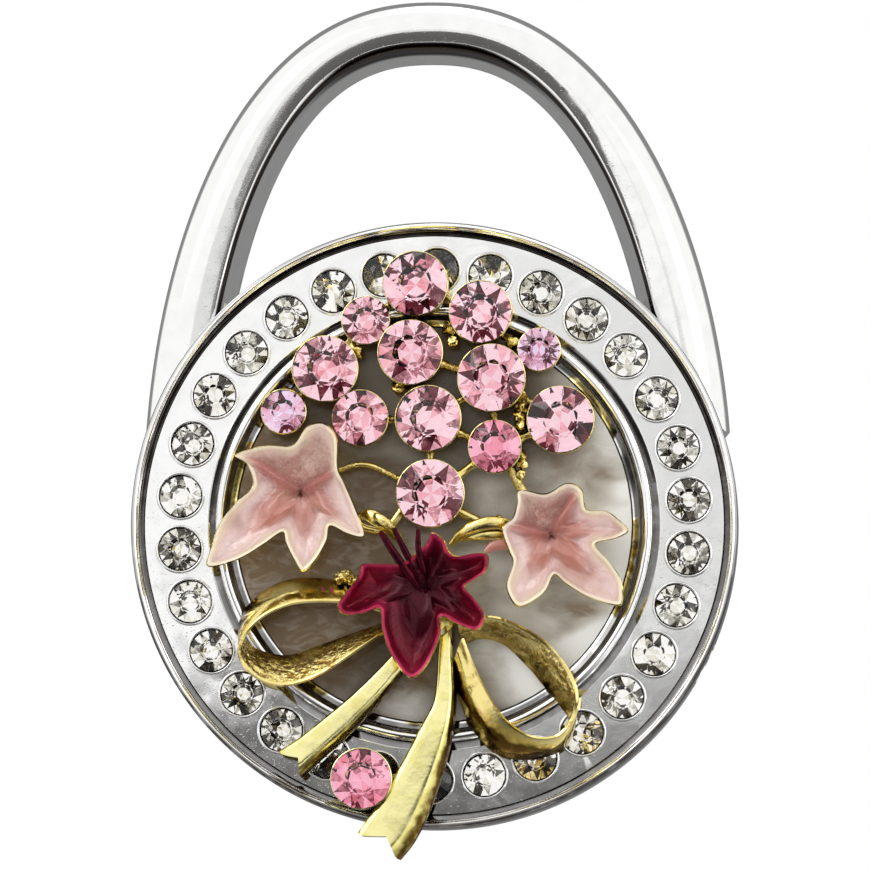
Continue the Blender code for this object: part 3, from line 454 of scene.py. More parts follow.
# How much higher each tail's end lies than its root
LEFT_TAIL_LIFT_MM = 1.15
RIGHT_TAIL_LIFT_MM = 1.2
TAIL_COLUMNS = 16
RIBBON_STEPS = 7
KNOT_MM = (-0.068, -6.593, 1.9)
KNOT_RISE_MM = 1.7
# The bar that holds the rim's cup to the right tail
RIM_BAR_MM = ((-3.4, -18.97), (-1.6, -18.7))
# Spilt enamel on the left loop: where its two streaks begin, and how far each runs
STREAKS_MM = ((-8.15, -4.75), (-7.55, -4.75))
STREAK_RUN_MM = (0.42, -1.15)
STREAK_RADIUS_MM = 0.10
# The grip pad's edge, then the grooves between its ribs, and where these begin, end and repeat
PAD_EDGE_MM = ((0.0, 0.22), (0.06, 0.07), (0.22, 0.0))
PAD_GROOVE_MM = ((0.0, 0.0), (-0.10, 0.22), (-0.42, 0.22), (-0.52, 0.0))
PAD_BORDER_MM = 1.3
PAD_MIDDLE_MM = 2.0
PAD_PITCH_MM = 1.6

# Colours of painted shade, of the shell's silver and cream, and of dust, that nobody would set by hand
GROOVE_SHADE = (0.030, 0.022, 0.016)
CORNER_SHADE = (0.030, 0.024, 0.020)
CHROME_SHADOW = (0.035, 0.025, 0.018)
SHELL_SILVER = (1.0, 0.99, 0.97)
SHELL_CREAM = (1.0, 0.98, 0.94)
SHELL_SHADOW = (0.080, 0.045, 0.012)
RUBBER_DUST = (0.11, 0.11, 0.105)
# A foil's dark, middle and bright facets, painted reflections
SILVER_FOIL_REFLECTIONS = ((0.045, 0.038, 0.028), (0.84, 0.82, 0.75), (1.0, 1.0, 1.0))
PINK_FOIL_REFLECTIONS = ((0.11, 0.015, 0.027), (0.95, 0.66, 0.70), (1.0, 0.96, 0.98))
WINE_THROAT = (0.060, 0.006, 0.014)
WINE_FOLD_SHADE = (0.055, 0.001, 0.007)
STAMEN_DARK = (0.02, 0.001, 0.005)
STAMEN_LIT = (0.09, 0.002, 0.012)
# What a lily's mesh says of each point, for its enamel
LILY_MARKS = ("reach", "rim", "rough", "seam")
# Where the picture's middle lies on the disc's face
PICTURE_MIDDLE_MM = (0.07, 6.67)


def hinge_axis(disc, shackle):
    """X and Z of the line that the shackle turns about."""
    return disc.rim_radius - shackle.hinge_inset, shackle.lift + shackle.thickness / 2


def stand_up():
    """The move from the drawing to the frame, which puts the strap's rest at the origin."""
    disc, shackle, _ = sizes()
    _, hinge_level = hinge_axis(disc, shackle)
    strap_line = shackle.spring_line + shackle.rise - shackle.crown_width
    return Matrix(((1, 0, 0, 0), (0, 0, -1, hinge_level), (0, 1, 0, -strap_line), (0, 0, 0, 1)))


# Mesh tools


def rounded(points, steps, closed=False):
    """Points on a smooth curve through the given ones."""
    points = [Vector(p) for p in points]
    count = len(points)
    spans = count if closed else count - 1
    made = []
    for i in range(spans):
        if closed:
            a, b, c, d = (points[(i + k) % count] for k in (-1, 0, 1, 2))
        else:
            b, c = points[i], points[i + 1]
            a = points[i - 1] if i else b * 2 - c
            d = points[i + 2] if i + 2 < count else c * 2 - b
        for step in range(steps):
            t = step / steps
            square = (a * 2 - b * 5 + c * 4 - d) * t**2
            cube = (b * 3 - a - c * 3 + d) * t**3
            made.append((b * 2 + (c - a) * t + square + cube) / 2)
    if not closed:
        made.append(points[-1])
    return made


def face_curve(line, level=0.0):
    """A smooth line through places on the face, in millimetres, at one level."""
    return rounded([Vector((x * MM, y * MM, level)) for x, y in line], 8)


def step_up(value, low, high):
    """0 below low, 1 above high, and a smooth step between them."""
    t = min(1.0, max(0.0, (value - low) / (high - low)))
    return t * t * (3 - 2 * t)


def swelling(t, least, gain, margin):
    """Thickness along a leaf or a strand, most in its middle."""
    return least + gain * math.sin(math.pi * (margin + (1 - 2 * margin) * t))


def skin(bm, rings, slot, closed=False):
    """Faces between rings of as many vertices, from the last one back to the first if closed."""
    count = len(rings[0])
    for low, high in zip(rings, rings[1:] + rings[:1] if closed else rings[1:]):
        for i in range(count):
            j = (i + 1) % count
            bm.faces.new((low[i], low[j], high[j], high[i])).material_index = slot


def loft(bm, sections, slot=0, closed=False):
    """A body through rings of as many points, with ends unless it is closed. Returns its rings."""
    rings = [[bm.verts.new(p) for p in section] for section in sections]
    skin(bm, rings, slot, closed)
    if not closed:
        for end in (rings[0], rings[-1]):
            bm.faces.new(end).material_index = slot
    return rings


def turned(bm, x, y, profile, sides, turn=0.0):
    """A round body with flat ends."""
    angles = [turn + math.tau * step / sides for step in range(sides)]
    loft(bm, [[(x + r * math.cos(a), y + r * math.sin(a), z) for a in angles] for r, z in profile])


def bar(bm, start, end, radius, sides):
    """A round bar between two points."""
    start, end = Vector(start), Vector(end)
    along = end - start
    turn = along.to_track_quat("Z", "X").to_matrix().to_4x4()
    turn.translation = (start + end) / 2
    bmesh.ops.create_cone(
        bm, cap_ends=True, segments=sides, radius1=radius, radius2=radius, depth=along.length, matrix=turn
    )


def tube(bm, points, radii, sides=14, flat=1.0):
    """A stem through points, with a radius at each. Flat below 1 presses it down."""
    sections = []
    for i, point in enumerate(points):
        along = (points[min(i + 1, len(points) - 1)] - points[max(i - 1, 0)]).normalized()
        side = along.cross(UP).normalized()
        up = side.cross(along)
        ring = []
        for step in range(sides):
            a = math.tau * step / sides
            ring.append(point + side * radii[i] * math.cos(a) + up * radii[i] * flat * math.sin(a))
        sections.append(ring)
    loft(bm, sections)


def strand(bm, line, level, thickness, swell, sides, flat):
    """A tube along a line on the face, thickest in its middle. Level gives its height along the line."""
    points = face_curve(line)
    last = len(points) - 1
    shares = [i / last for i in range(last + 1)]
    for point, t in zip(points, shares):
        point.z = level(t)
    tube(bm, points, [thickness * swelling(t, *swell) for t in shares], sides, flat)


def hoop(bm, middle, radius, half_width, half_height):
    """A closed ring that lies flat."""
    sides, wire_sides = SEAT_LIP_SIDES
    sections = []
    for step in range(sides):
        a = math.tau * step / sides
        out = Vector((math.cos(a), math.sin(a), 0))
        section = []
        for k in range(wire_sides):
            b = math.tau * k / wire_sides
            beside = out * (radius + half_width * math.cos(b))
            section.append(middle + beside + UP * half_height * math.sin(b))
        sections.append(section)
    loft(bm, sections, closed=True)


def prism(bm, outline, low, high):
    """An upright body over a flat outline."""
    loft(bm, [[(x, y, low) for x, y in outline], [(x, y, high) for x, y in outline]])


def link_object(name, data):
    """An object in the scene with this data."""
    made = bpy.data.objects.new(name, data)
    bpy.context.scene.collection.objects.link(made)
    return made


def mesh_object(bm, name):
    """An object with the drawn mesh, as it is."""
    mesh = bpy.data.meshes.new(name)
    bm.to_mesh(mesh)
    bm.free()
    return link_object(name, mesh)


def new_object(bm, name):
    """An object in the frame from a drawn shape."""
    bmesh.ops.recalc_face_normals(bm, faces=bm.faces)
    bm.transform(stand_up())
    return mesh_object(bm, name)


def settle(piece, modifiers):
    """Run Boolean steps on a piece, keep the result as its mesh, and remove the guides."""
    guides = []
    for operation, other in modifiers:
        step = piece.modifiers.new(operation, "BOOLEAN")
        step.operation = operation
        step.solver = "EXACT"
        if isinstance(other, list):
            group = bpy.data.collections.new(piece.name + "_guides")
            bpy.context.scene.collection.children.link(group)
            for shape in other:
                group.objects.link(shape)
            step.operand_type = "COLLECTION"
            step.collection = group
            guides += other
        else:
            step.object = other
            guides.append(other)
    bpy.context.view_layer.update()
    done = piece.evaluated_get(bpy.context.evaluated_depsgraph_get())
    mesh = bpy.data.meshes.new_from_object(done)
    piece.modifiers.clear()
    piece.data = mesh
    for shape in guides:
        bpy.data.objects.remove(shape, do_unlink=True)
    for group in list(bpy.context.scene.collection.children):
        if group.name.startswith(piece.name + "_guides"):
            bpy.data.collections.remove(group)


def dress(piece, finishes, body, replaced=(), sharp=60.0):
    """Finish a piece, attach it to the body it rides on, and hide the solids that it takes the place of."""
    for finish in finishes:
        piece.data.materials.append(finish)
    piece.data.shade_smooth()
    piece.data.set_sharp_from_angle(angle=math.radians(sharp))
    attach(piece, body)
    if replaced:
        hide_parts(*replaced)


# Material tools


class Finish:
    """A material that is being mixed, with a short way to add and wire its nodes."""

    def __init__(self, name):
        self.material = bpy.data.materials.new(name)
        self.material.use_nodes = True
        self.tree = self.material.node_tree
        self.shader = self.tree.nodes["Principled BSDF"]

    def add(self, kind, inputs=None, output=0, **settings):
        """The output of a new node, with its settings made and its inputs fed."""
        node = self.tree.nodes.new("ShaderNode" + kind)
        for key, value in settings.items():
            setattr(node, key, value)
        self.feed(node, inputs or {})
        return node.outputs[output]

    def feed(self, node, inputs):
        """Give each input its value, or wire it to another node's output."""
        for key, value in inputs.items():
            socket = node.inputs[key]
            if isinstance(value, bpy.types.NodeSocket):
                self.tree.links.new(value, socket)
            elif hasattr(value, "__len__") and len(value) == 3 and socket.type == "RGBA":
                socket.default_value = (*value, 1.0)
            else:
                socket.default_value = value

    def surface(self, **inputs):
        """Feed the surface's shader, by its inputs' names with _ for a space."""
        self.feed(self.shader, {key.replace("_", " "): value for key, value in inputs.items()})

    def place(self):
        """Where a point lies in its object, in metres."""
        return self.add("TexCoord", output="Object")

    def grain(self, scale, vector=None, detail=2.0, roughness=0.5, distortion=0.0):
        """Noise of so many cells to the metre."""
        inputs = {
            "Vector": vector or self.place(),
            "Scale": scale,
            "Detail": detail,
            "Roughness": roughness,
            "Distortion": distortion,
        }
        return self.add("TexNoise", inputs, "Fac")

    def spread(self, value, low, high, to_low=0.0, to_high=1.0):
        """A value taken from one range to another by a smooth step."""
        inputs = {"Value": value, "From Min": low, "From Max": high, "To Min": to_low, "To Max": to_high}
        return self.add("MapRange", inputs, "Result", interpolation_type="SMOOTHSTEP")

    def blend(self, share, low, high):
        """A colour between two, by a share. The node's colour sockets are 6, 7 and 2."""
        return self.add("Mix", {0: share, 6: low, 7: high}, 2, data_type="RGBA")

    def maths(self, operation, *values):
        return self.add("Math", dict(enumerate(values)), operation=operation)

    def plus(self, first, second):
        return self.maths("ADD", first, second)

    def times(self, first, second):
        return self.maths("MULTIPLY", first, second)

    def sway(self, noise, strength):
        """The swing of a noise about its middle, so strong."""
        return self.times(self.maths("SUBTRACT", noise, 0.5), strength)

    def mark(self, name, output="Fac"):
        """What the mesh says of each point under a name."""
        return self.add("Attribute", output=output, attribute_name=name)

    def glow(self, share, under, tone):
        """By a share, show light of a colour in place of the surface under it."""
        light = self.add("Emission", {"Color": tone, "Strength": 1.0})
        mix = self.add("MixShader", {0: share, 1: under, 2: light})
        self.tree.links.new(mix, self.tree.nodes["Material Output"].inputs["Surface"])

    def crevice(self, distance):
        """1 in the open, less where other shapes stand close."""
        return self.add("AmbientOcclusion", {"Distance": distance}, "AO", samples=6)

    def relief(self, height, distance, strength=1.0, under=None):
        """Bumps that only shading shows, over other such bumps if given."""
        inputs = {"Height": height, "Distance": distance, "Strength": strength}
        if under:
            inputs["Normal"] = under
        return self.add("Bump", inputs, "Normal")


def faded(tint, share):
    """A colour at a share of its brightness."""
    return tuple(c * share for c in tint)


def mixed(tint, shares):
    """A colour with each of its parts at a share of its own."""
    return tuple(c * share for c, share in zip(tint, shares))


def painted_groove_shade(f, plate, smear, grooves):
    """The plate with a ring of painted shade in each groove of the face, by distance from the disc's axis, as
    dark as given above and below.
    """
    edge = GROOVE_SOFTNESS_MM * MM
    middle = stand_up().translation
    flat = {"Vector": f.place(), "Location": (0.0, 0.0, -middle.z), "Scale": (1.0, 0.0, 1.0)}
    out = f.add("VectorMath", {0: f.add("Mapping", flat, "Vector")}, "Value", operation="LENGTH")
    place = f.add("SeparateXYZ", {0: f.place()}).node
    height = f.maths("SUBTRACT", place.outputs["Z"], middle.z)
    front = f.spread(place.outputs["Y"], -1 * MM, -2 * MM)
    thick = f.spread(smear, 0.2, 0.6, 0.75, 1.0)
    for low, high, above, below in grooves:
        inside = f.spread(out, low - edge, low + edge)
        beyond = f.times(f.spread(out, high + edge, high - edge), front)
        share = f.times(thick, f.spread(height, -14 * MM, 8 * MM, below, above))
        plate = f.blend(f.times(f.times(inside, beyond), share), plate, GROOVE_SHADE)
    return plate


def chrome_finish(name, tint, wave_depth, grooves=()):
    """Polished plate: a faint waviness, a few pores and a thin haze, and painted shade in corners and
    grooves.
    """
    f = Finish(name)
    waves = f.grain(190.0, detail=2.5, roughness=0.45, distortion=0.6)
    pores = f.grain(5200.0, detail=1.0)
    smear = f.grain(700.0, detail=3.0, roughness=0.6)
    fine = f.relief(f.spread(pores, 0.62, 0.80), 0.000004, 0.25)
    plate = f.blend(f.spread(smear, 0.35, 0.75), tint, faded(tint, 0.94))
    if grooves:
        plate = painted_groove_shade(f, plate, smear, grooves)
    # Painted shade where the mesh marks it
    plate = f.blend(f.spread(f.mark("soil"), 0.35, 0.85), plate, CORNER_SHADE)
    f.surface(
        Base_Color=f.blend(f.spread(f.crevice(0.0006), 0.25, 0.80), CHROME_SHADOW, plate),
        Metallic=1.0,
        Roughness=f.spread(smear, 0.30, 0.80, 0.03, 0.10),
        Normal=f.relief(waves, wave_depth, 1.0, fine),
    )
    return f.material


def gold_finish(name, tint, tarnish, grain_depth, haze, worn=(0.50, 0.68), grain=5600.0):
    """Gold plate on a casting: grainy here and bright there, brown where it is rough, with painted shade in
    corners and where the mesh marks it.
    """
    f = Finish(name)
    cast = f.grain(grain, detail=3.0, roughness=0.68)
    patches = f.grain(520.0, distortion=0.8)
    soft = f.grain(900.0)
    rough = f.spread(patches, *worn)
    deep = tuple(0.90 * c**1.5 for c in tint)
    shadow = faded(tarnish, 0.35)
    soil = f.plus(f.mark("soil"), f.spread(soft, 0.3, 0.7, -0.2, 0.2))
    plate = f.blend(f.times(rough, f.spread(cast, 0.58, 0.42)), tint, tarnish)
    plate = f.blend(f.spread(soft, 0.50, 0.68, 0.0, 0.40), plate, deep)
    # Painted shade where the mesh marks it: a deeper gold, then dark brown
    plate = f.blend(f.spread(soil, 0.10, 0.45), plate, deep)
    plate = f.blend(f.spread(soil, 0.40, 0.95), plate, shadow)
    pits = f.times(cast, f.plus(f.times(rough, 0.85), 0.15))
    f.surface(
        Base_Color=f.blend(f.spread(f.crevice(0.0012), 0.10, 0.72), shadow, plate),
        Metallic=1.0,
        Roughness=f.spread(patches, 0.35, 0.75, haze, haze + 0.20),
        Normal=f.relief(pits, grain_depth, 0.9, f.relief(soft, 0.00005, 0.5)),
    )
    return f.material


def petal_finish(name, tints, streak_depth, metallic, roughness, reach, band, gloss=1.0):
    """Enamel on a flower: strong in the throat and on the seams, pale on the petals, gritty in the bowl, with
    painted shade towards the throat, in patches and in crevices, and painted glints in the grit.

    The tints are those of throat, petal, edge, fold shade and dust. Reach says how far out the throat's tint
    gives way to the petal's, and band how near the rim the edge's tint begins.
    """
    throat, petal, edge, fold_shade, dust = tints
    f = Finish(name)
    out, rim, rough, seam = (f.mark(key) for key in LILY_MARKS)
    streaks = f.grain(1.0, vector=f.mark("turn", "Vector"), detail=4.0, roughness=0.65, distortion=0.35)
    clouds = f.grain(420.0, detail=3.0, distortion=0.5)
    grit = f.grain(4200.0, detail=4.0, roughness=0.75, distortion=0.2)
    shadows = f.grain(260.0, distortion=0.4)
    drift = f.plus(f.plus(out, f.sway(streaks, 0.30)), f.sway(clouds, 0.45))

    smooth = f.blend(f.spread(drift, *reach), throat, petal)
    smooth = f.blend(f.spread(clouds, 0.47, 0.62, 0.0, 0.30), smooth, f.blend(0.45, throat, petal))
    # Painted shade towards the throat and in patches
    smooth = f.blend(f.spread(drift, 0.75, 0.30, 0.0, 0.45), smooth, fold_shade)
    smooth = f.blend(f.spread(shadows, 0.50, 0.68, 0.0, 0.50), smooth, fold_shade)

    pale = f.blend(f.spread(clouds, 0.38, 0.55), f.blend(0.50, throat, dust), dust)
    speck = f.blend(f.spread(grit, 0.34, 0.48), throat, pale)
    dust_and_glints = f.blend(f.spread(drift, 0.80, 0.20, 0.25, 1.0), pale, speck)
    # Painted glints: specks of the edge's tint in the grit
    dust_and_glints = f.blend(f.spread(grit, 0.57, 0.64), dust_and_glints, edge)

    seams = f.times(seam, f.spread(clouds, 0.3, 0.6, 0.6, 0.95))
    seamed = f.blend(seams, f.blend(rough, smooth, dust_and_glints), throat)
    lined = f.blend(f.spread(f.plus(rim, f.sway(clouds, 1.2)), *band), seamed, edge)
    lines = f.times(streaks, f.plus(f.times(seam, 1.8), 0.5))
    lines = f.plus(lines, f.times(clouds, 1.6))
    bumps = f.times(grit, f.times(rough, 2.4))
    # Painted shade in crevices
    f.surface(
        Base_Color=f.blend(f.spread(f.crevice(0.0012), 0.10, 0.60, 0.30, 1.0), fold_shade, lined),
        Metallic=metallic,
        Roughness=f.spread(clouds, 0.3, 0.7, roughness, roughness + 0.12),
        Specular_IOR_Level=0.5 * gloss,
        Coat_Weight=f.spread(rough, 0.0, 1.0, gloss, 0.4 * gloss),
        Coat_Roughness=0.05,
        Normal=f.relief(f.plus(lines, bumps), streak_depth),
    )
    return f.material


def strand_finish(name, dark, light, roughness, **settings):
    """Enamel on something thin, a little cloudy."""
    f = Finish(name)
    depth = f.grain(1400.0)
    f.surface(
        Base_Color=f.blend(f.spread(depth, 0.35, 0.7), dark, light),
        Roughness=f.spread(depth, 0.3, 0.7, *roughness),
        **settings,
    )
    return f.material


def shell_finish(name, pale, dark):
    """Mother of pearl: clouds from brown to cream and silver, paler towards its right, finely rippled."""
    f = Finish(name)
    place = f.place()
    slant = {"Vector": place, "Rotation": (0.0, 0.7, 0.0), "Scale": (1.0, 1.0, 1.8)}
    stretched = f.add("Mapping", slant, "Vector")
    clouds = f.grain(95.0, vector=stretched, detail=1.5, distortion=0.5)
    layers = f.grain(300.0, vector=stretched, detail=2.5, distortion=1.2)
    ripples = f.grain(520.0, vector=stretched, detail=3.0, roughness=0.6, distortion=1.2)
    side = f.maths("SUBTRACT", f.add("SeparateXYZ", {0: place}, "X"), 2 * MM)
    tone = f.plus(f.times(clouds, 0.86), f.times(layers, 0.14))
    tone = f.plus(tone, f.times(side, 17.0))
    ground = f.blend(f.spread(tone, 0.38, 0.58), dark, pale)
    silver = f.blend(f.spread(tone, 0.52, 0.64), ground, SHELL_SILVER)
    rippled = f.blend(f.spread(ripples, 0.42, 0.66, 0.0, 0.16), silver, SHELL_CREAM)
    f.surface(
        Base_Color=f.blend(f.spread(f.crevice(0.0042), 0.18, 0.80), SHELL_SHADOW, rippled),
        Metallic=0.1,
        Roughness=f.spread(layers, 0.3, 0.7, 0.32, 0.45),
        Coat_Weight=0.4,
        Coat_Roughness=0.08,
        Normal=f.relief(layers, 0.00005, 0.5),
    )
    return f.material


def glass_finish(name, tint):
    """The clear body of a cut stone."""
    f = Finish(name)
    dust = f.grain(900.0)
    f.surface(
        Base_Color=f.blend(f.spread(dust, 0.4, 0.7, 0.0, 0.5), tint, tuple(c**1.15 for c in tint)),
        Roughness=0.0,
        IOR=1.56,
        Transmission_Weight=1.0,
    )
    return f.material


def foil_finish(name, dark, middle, light):
    """The backing of a cut stone, seen through it: each facet dark, tinted or bright, a painted reflection.
    """
    f = Finish(name)
    wear = f.grain(1700.0)
    tone = f.plus(f.mark("tone"), f.spread(wear, 0.35, 0.65, -0.08, 0.08))
    low = f.blend(f.spread(tone, 0.0, 0.45), dark, middle)
    f.surface(Base_Color=f.blend(f.spread(tone, 0.45, 1.0), low, light), Metallic=1.0, Roughness=0.015)
    return f.material


def rubber_finish(name, tint):
    """Matt rubber with a fine grain and a little dust."""
    f = Finish(name)
    grain = f.grain(7000.0, roughness=0.7)
    dust = f.grain(300.0, detail=4.0, roughness=0.7)
    f.surface(
        Base_Color=f.blend(f.spread(dust, 0.45, 0.75, 0.0, 0.35), tint, RUBBER_DUST),
        Roughness=f.spread(dust, 0.3, 0.7, 0.62, 0.82),
        Normal=f.relief(grain, 0.00002, 0.6),
    )
    return f.material


def steel_finish(name, tint, marks):
    """Plain steel with fine marks of turning, in RINGS round the Y axis or in BANDS."""
    f = Finish(name)
    wave = {"Vector": f.place(), "Scale": 900.0, "Distortion": 2.0, "Detail": 2.0}
    turning = f.add("TexWave", wave, "Fac", wave_type=marks, rings_direction="Y")
    stain = f.grain(260.0, detail=3.0)
    f.surface(
        Base_Color=f.blend(f.spread(stain, 0.35, 0.7), tint, faded(tint, 0.82)),
        Metallic=1.0,
        Roughness=f.spread(stain, 0.3, 0.7, 0.28, 0.42),
        Normal=f.relief(turning, 0.000006, 0.6),
    )
    return f.material


def refinish(node, material):
    """Give a carried-over solid its finish."""
    piece = frame["nodes"][node]
    if not piece.material_slots:
        piece.data.materials.append(material)
    for holder in piece.material_slots:
        holder.material = material


# Shapes of the disc and the shackle


def disc_outline(disc):
    """The disc's turned profile from the inlay's recess over the face and round to the cavity's roof."""
    rim, face, gap = disc.rim_radius, disc.face_level, disc.seat_gap
    inner = [(rim - x * MM, face + z * MM) for x, z in reversed(RING_PROFILE_MM)]
    outer = [(rim - x * MM, face + z * MM) for x, z in reversed(RIM_PROFILE_MM)]
    side = rim - SIDE_INSET_MM * MM
    chamfer = BACK_CHAMFER_MM * MM
    recess = disc.plate_radius + gap
    plate_top = disc.back_level + PLATE_MM * MM + gap
    roof = face - FACE_MM * MM
    back = [
        (side, disc.flange_under),
        (side, disc.back_level + chamfer),
        (side - chamfer * 0.3, disc.back_level + chamfer * 0.3),
        (side - chamfer, disc.back_level),
        (recess, disc.back_level),
        (recess, plate_top),
        (disc.cavity_radius, plate_top),
        (disc.cavity_radius, roof),
    ]
    return inner + outer + back


def arch_point(half_width, rise, fullness, turn, shackle):
    """A point of the shackle's outline, at 0 on the left and pi on the right."""
    across = abs(math.cos(turn)) ** (2 / fullness)
    lean = shackle.lean * math.sin(turn) ** 2
    x = -math.copysign(half_width * across, math.cos(turn)) - lean
    return Vector((x, shackle.spring_line + rise * math.sin(turn)))


def inner_arch(shackle):
    """Half the width and the rise of the arch's inner edge."""
    return shackle.half_width - shackle.leg_width, shackle.rise - shackle.crown_width


def pocket_outline(side, end, disc, shackle):
    """A notch beside the disc for a leg of the shackle."""
    half, rise = (size - LEG_PLAY_MM * MM for size in inner_arch(shackle))
    turns = [math.radians(a if side < 0 else 180 - a) for a in range(0, 50, 2)]
    wall = [arch_point(half, rise, INNER_FULLNESS, turn, shackle) for turn in turns]
    outside = side * (disc.rim_radius + MM)
    return [(side * half, end), *wall, (outside, wall[-1].y), (outside, end)]


def pocket_shapes(disc, shackle):
    """The room behind the face plate for the shackle's legs."""
    bm = bmesh.new()
    low = disc.back_level - MM
    free_end = shackle.spring_line - LEG_TIP_MM * MM - LEG_PLAY_MM * MM
    for side, end in ((-1, free_end), (1, POCKET_FOOT_MM * MM)):
        prism(bm, pocket_outline(side, end, disc, shackle), low, disc.flange_under)
    return new_object(bm, "pockets")


def clear_places(stones):
    """Centre and turn of each clear stone on its circle."""
    for index in range(stones.clear_count):
        a = math.pi / 2 - math.radians(FIRST_STONE_TURN) - math.tau * index / stones.clear_count
        yield stones.clear_circle * math.cos(a), stones.clear_circle * math.sin(a), a


def seat_shapes(disc, stones):
    """The tapered holes of the clear stones."""
    bm = bmesh.new()
    girdle = disc.face_level + disc.seat_gap
    hole = stones.clear_radius + SEAT_PLAY_MM * MM
    profile = [
        (hole, disc.face_level + MM),
        (hole, girdle - SEAT_WALL_MM * MM),
        (SEAT_FLOOR_MM * MM, girdle - stones.clear_radius * STONE_DEPTH_SHARE - disc.seat_gap),
    ]
    for x, y, turn in clear_places(stones):
        turned(bm, x, y, profile, SEAT_SIDES, turn)
    return new_object(bm, "seats")


def ear_shape(disc, shackle):
    """The lug behind the face plate that holds the pin."""
    x, z = hinge_axis(disc, shackle)
    radius = shackle.knuckle_radius
    top = disc.flange_under + 0.5 * MM
    outline = [(x - radius, top)]
    for step in range(25):
        a = math.pi * (1 + step / 24)
        outline.append((x + radius * math.cos(a), z + radius * math.sin(a)))
    outline.append((x + radius, top))
    bm = bmesh.new()
    loft(bm, [[(across, end * MM, up) for across, up in outline] for end in EAR_MM])
    return new_object(bm, "ear")


def post_places():
    """Where the posts of the bouquet and the bow pass through the inlay."""
    places = (LEFT_LILY_MM, RIGHT_LILY_MM, CUPS_MM[3][:2], KNOT_MM[:2])
    return [(x * MM, y * MM) for x, y in places]


def disc_holes(disc, shackle):
    """The holes for the pin, the magnet and the posts."""
    bm = bmesh.new()
    x, z = hinge_axis(disc, shackle)
    top = PIN_HOLE_TOP_MM * MM
    bar(bm, (x, -disc.rim_radius, z), (x, top, z), shackle.pin_hole_radius, HOLE_SIDES)
    start, end, radius = (value * MM for value in MAGNET_HOLE_MM)
    bar(bm, (start, LATCH_MM * MM, z), (end, LATCH_MM * MM, z), radius, HOLE_SIDES)
    radius, depth = (value * MM for value in POST_HOLE_MM)
    for x, y in post_places():
        bar(bm, (x, y, disc.face_level - depth), (x, y, disc.face_level + MM), radius, 24)
    return new_object(bm, "bores")


def leg_sections(shackle):
    """Sections of the free leg from its rounded tip to the spring line."""
    half_in, _ = inner_arch(shackle)
    rounding = LEG_ROUNDING_MM * MM
    tip = shackle.spring_line - LEG_TIP_MM * MM
    stations = []
    for step in range(7):
        a = step / 6 * math.pi / 2
        stations.append((tip + rounding * (1 - math.cos(a)), 0.66 + 0.34 * math.sin(a)))
    for step in range(1, 12):
        stations.append((tip + rounding + (shackle.spring_line - tip - rounding) * step / 12, 1.0))
    ends = (-half_in, -shackle.half_width)
    return [bar_section(*(Vector((x, y)) for x in ends), shackle, share) for y, share in stations]


def bar_section(inner, outer, shackle, share):
    """The shackle's section between two points, drawn in by a share below 1 at a rounded end."""
    middle = (inner + outer) / 2
    ring = []
    for across, up in BAR_SHARES:
        place = middle + (inner.lerp(outer, across) - middle) * share
        ring.append((place.x, place.y, shackle.lift + shackle.thickness * (0.5 + (up - 0.5) * share)))
    return ring


def arch_shape(shackle):
    """The shackle's bar, marked for painted shade in its corner and at its crown."""
    half_in, rise_in = inner_arch(shackle)
    sections = leg_sections(shackle)
    crowns = [0.0] * len(sections)
    last = math.pi - math.asin((FOOT_MM * MM - shackle.spring_line) / rise_in)
    for step in range(ARCH_STATIONS + 1):
        turn = last * step / ARCH_STATIONS
        inner = arch_point(half_in, rise_in, INNER_FULLNESS, turn, shackle)
        outer = arch_point(shackle.half_width, shackle.rise, OUTER_FULLNESS, turn, shackle)
        if step == ARCH_STATIONS:
            outer.x -= FOOT_CHAMFER_MM * MM
        sections.append(bar_section(inner, outer, shackle, 1.0))
        crowns.append(math.sin(turn) ** 5)
    bm = bmesh.new()
    soil = bm.verts.layers.float.new("soil")
    for ring, crown in zip(loft(bm, sections), crowns):
        for index in CORNER_POINTS:
            ring[index][soil] = 1.0
        for index in CROWN_POINTS:
            ring[index][soil] = crown
    return new_object(bm, "arched_shackle")


def knuckle_shapes(disc, shackle):
    """What joins the hinged leg to its pin: the end of the leg's bar, a web and a barrel."""
    half_in, _ = inner_arch(shackle)
    x, z = hinge_axis(disc, shackle)
    low, high = (value * MM for value in KNUCKLE_MM)
    side = x - shackle.knuckle_radius - EAR_GAP_MM * MM
    web = shackle.knuckle_radius * WEB_SHARE
    leg_top = LEG_BAR_TOP_MM * MM
    leg = bmesh.new()
    outline = [(half_in, low), (side, low), (side, leg_top), (half_in, leg_top)]
    prism(leg, outline, shackle.lift, shackle.lift + shackle.thickness * LEG_BAR_SHARE)
    join = bmesh.new()
    inside = side - EAR_GAP_MM * MM
    outline = [(inside, low), (x, low), (x, high), (inside, high)]
    prism(join, outline, z - web, z + web)
    barrel = bmesh.new()
    bar(barrel, (x, low, z), (x, high, z), shackle.knuckle_radius, 48)
    return [new_object(leg, "leg_bar"), new_object(join, "web"), new_object(barrel, "barrel")]


def shackle_holes(disc, shackle):
    """The holes for the pin and the keeper."""
    half_in, _ = inner_arch(shackle)
    x, z = hinge_axis(disc, shackle)
    low, high = (value * MM for value in KNUCKLE_MM)
    before, depth, radius = (value * MM for value in KEEPER_HOLE_MM)
    wall = half_in + WALL_SLOPE_SHARE * shackle.leg_width
    level = LATCH_MM * MM
    bm = bmesh.new()
    bar(bm, (x, low - MM, z), (x, high + MM, z), shackle.pin_hole_radius, HOLE_SIDES)
    bar(bm, (-half_in + before, level, z), (-wall - depth, level, z), radius, HOLE_SIDES)
    return new_object(bm, "leg_bores")


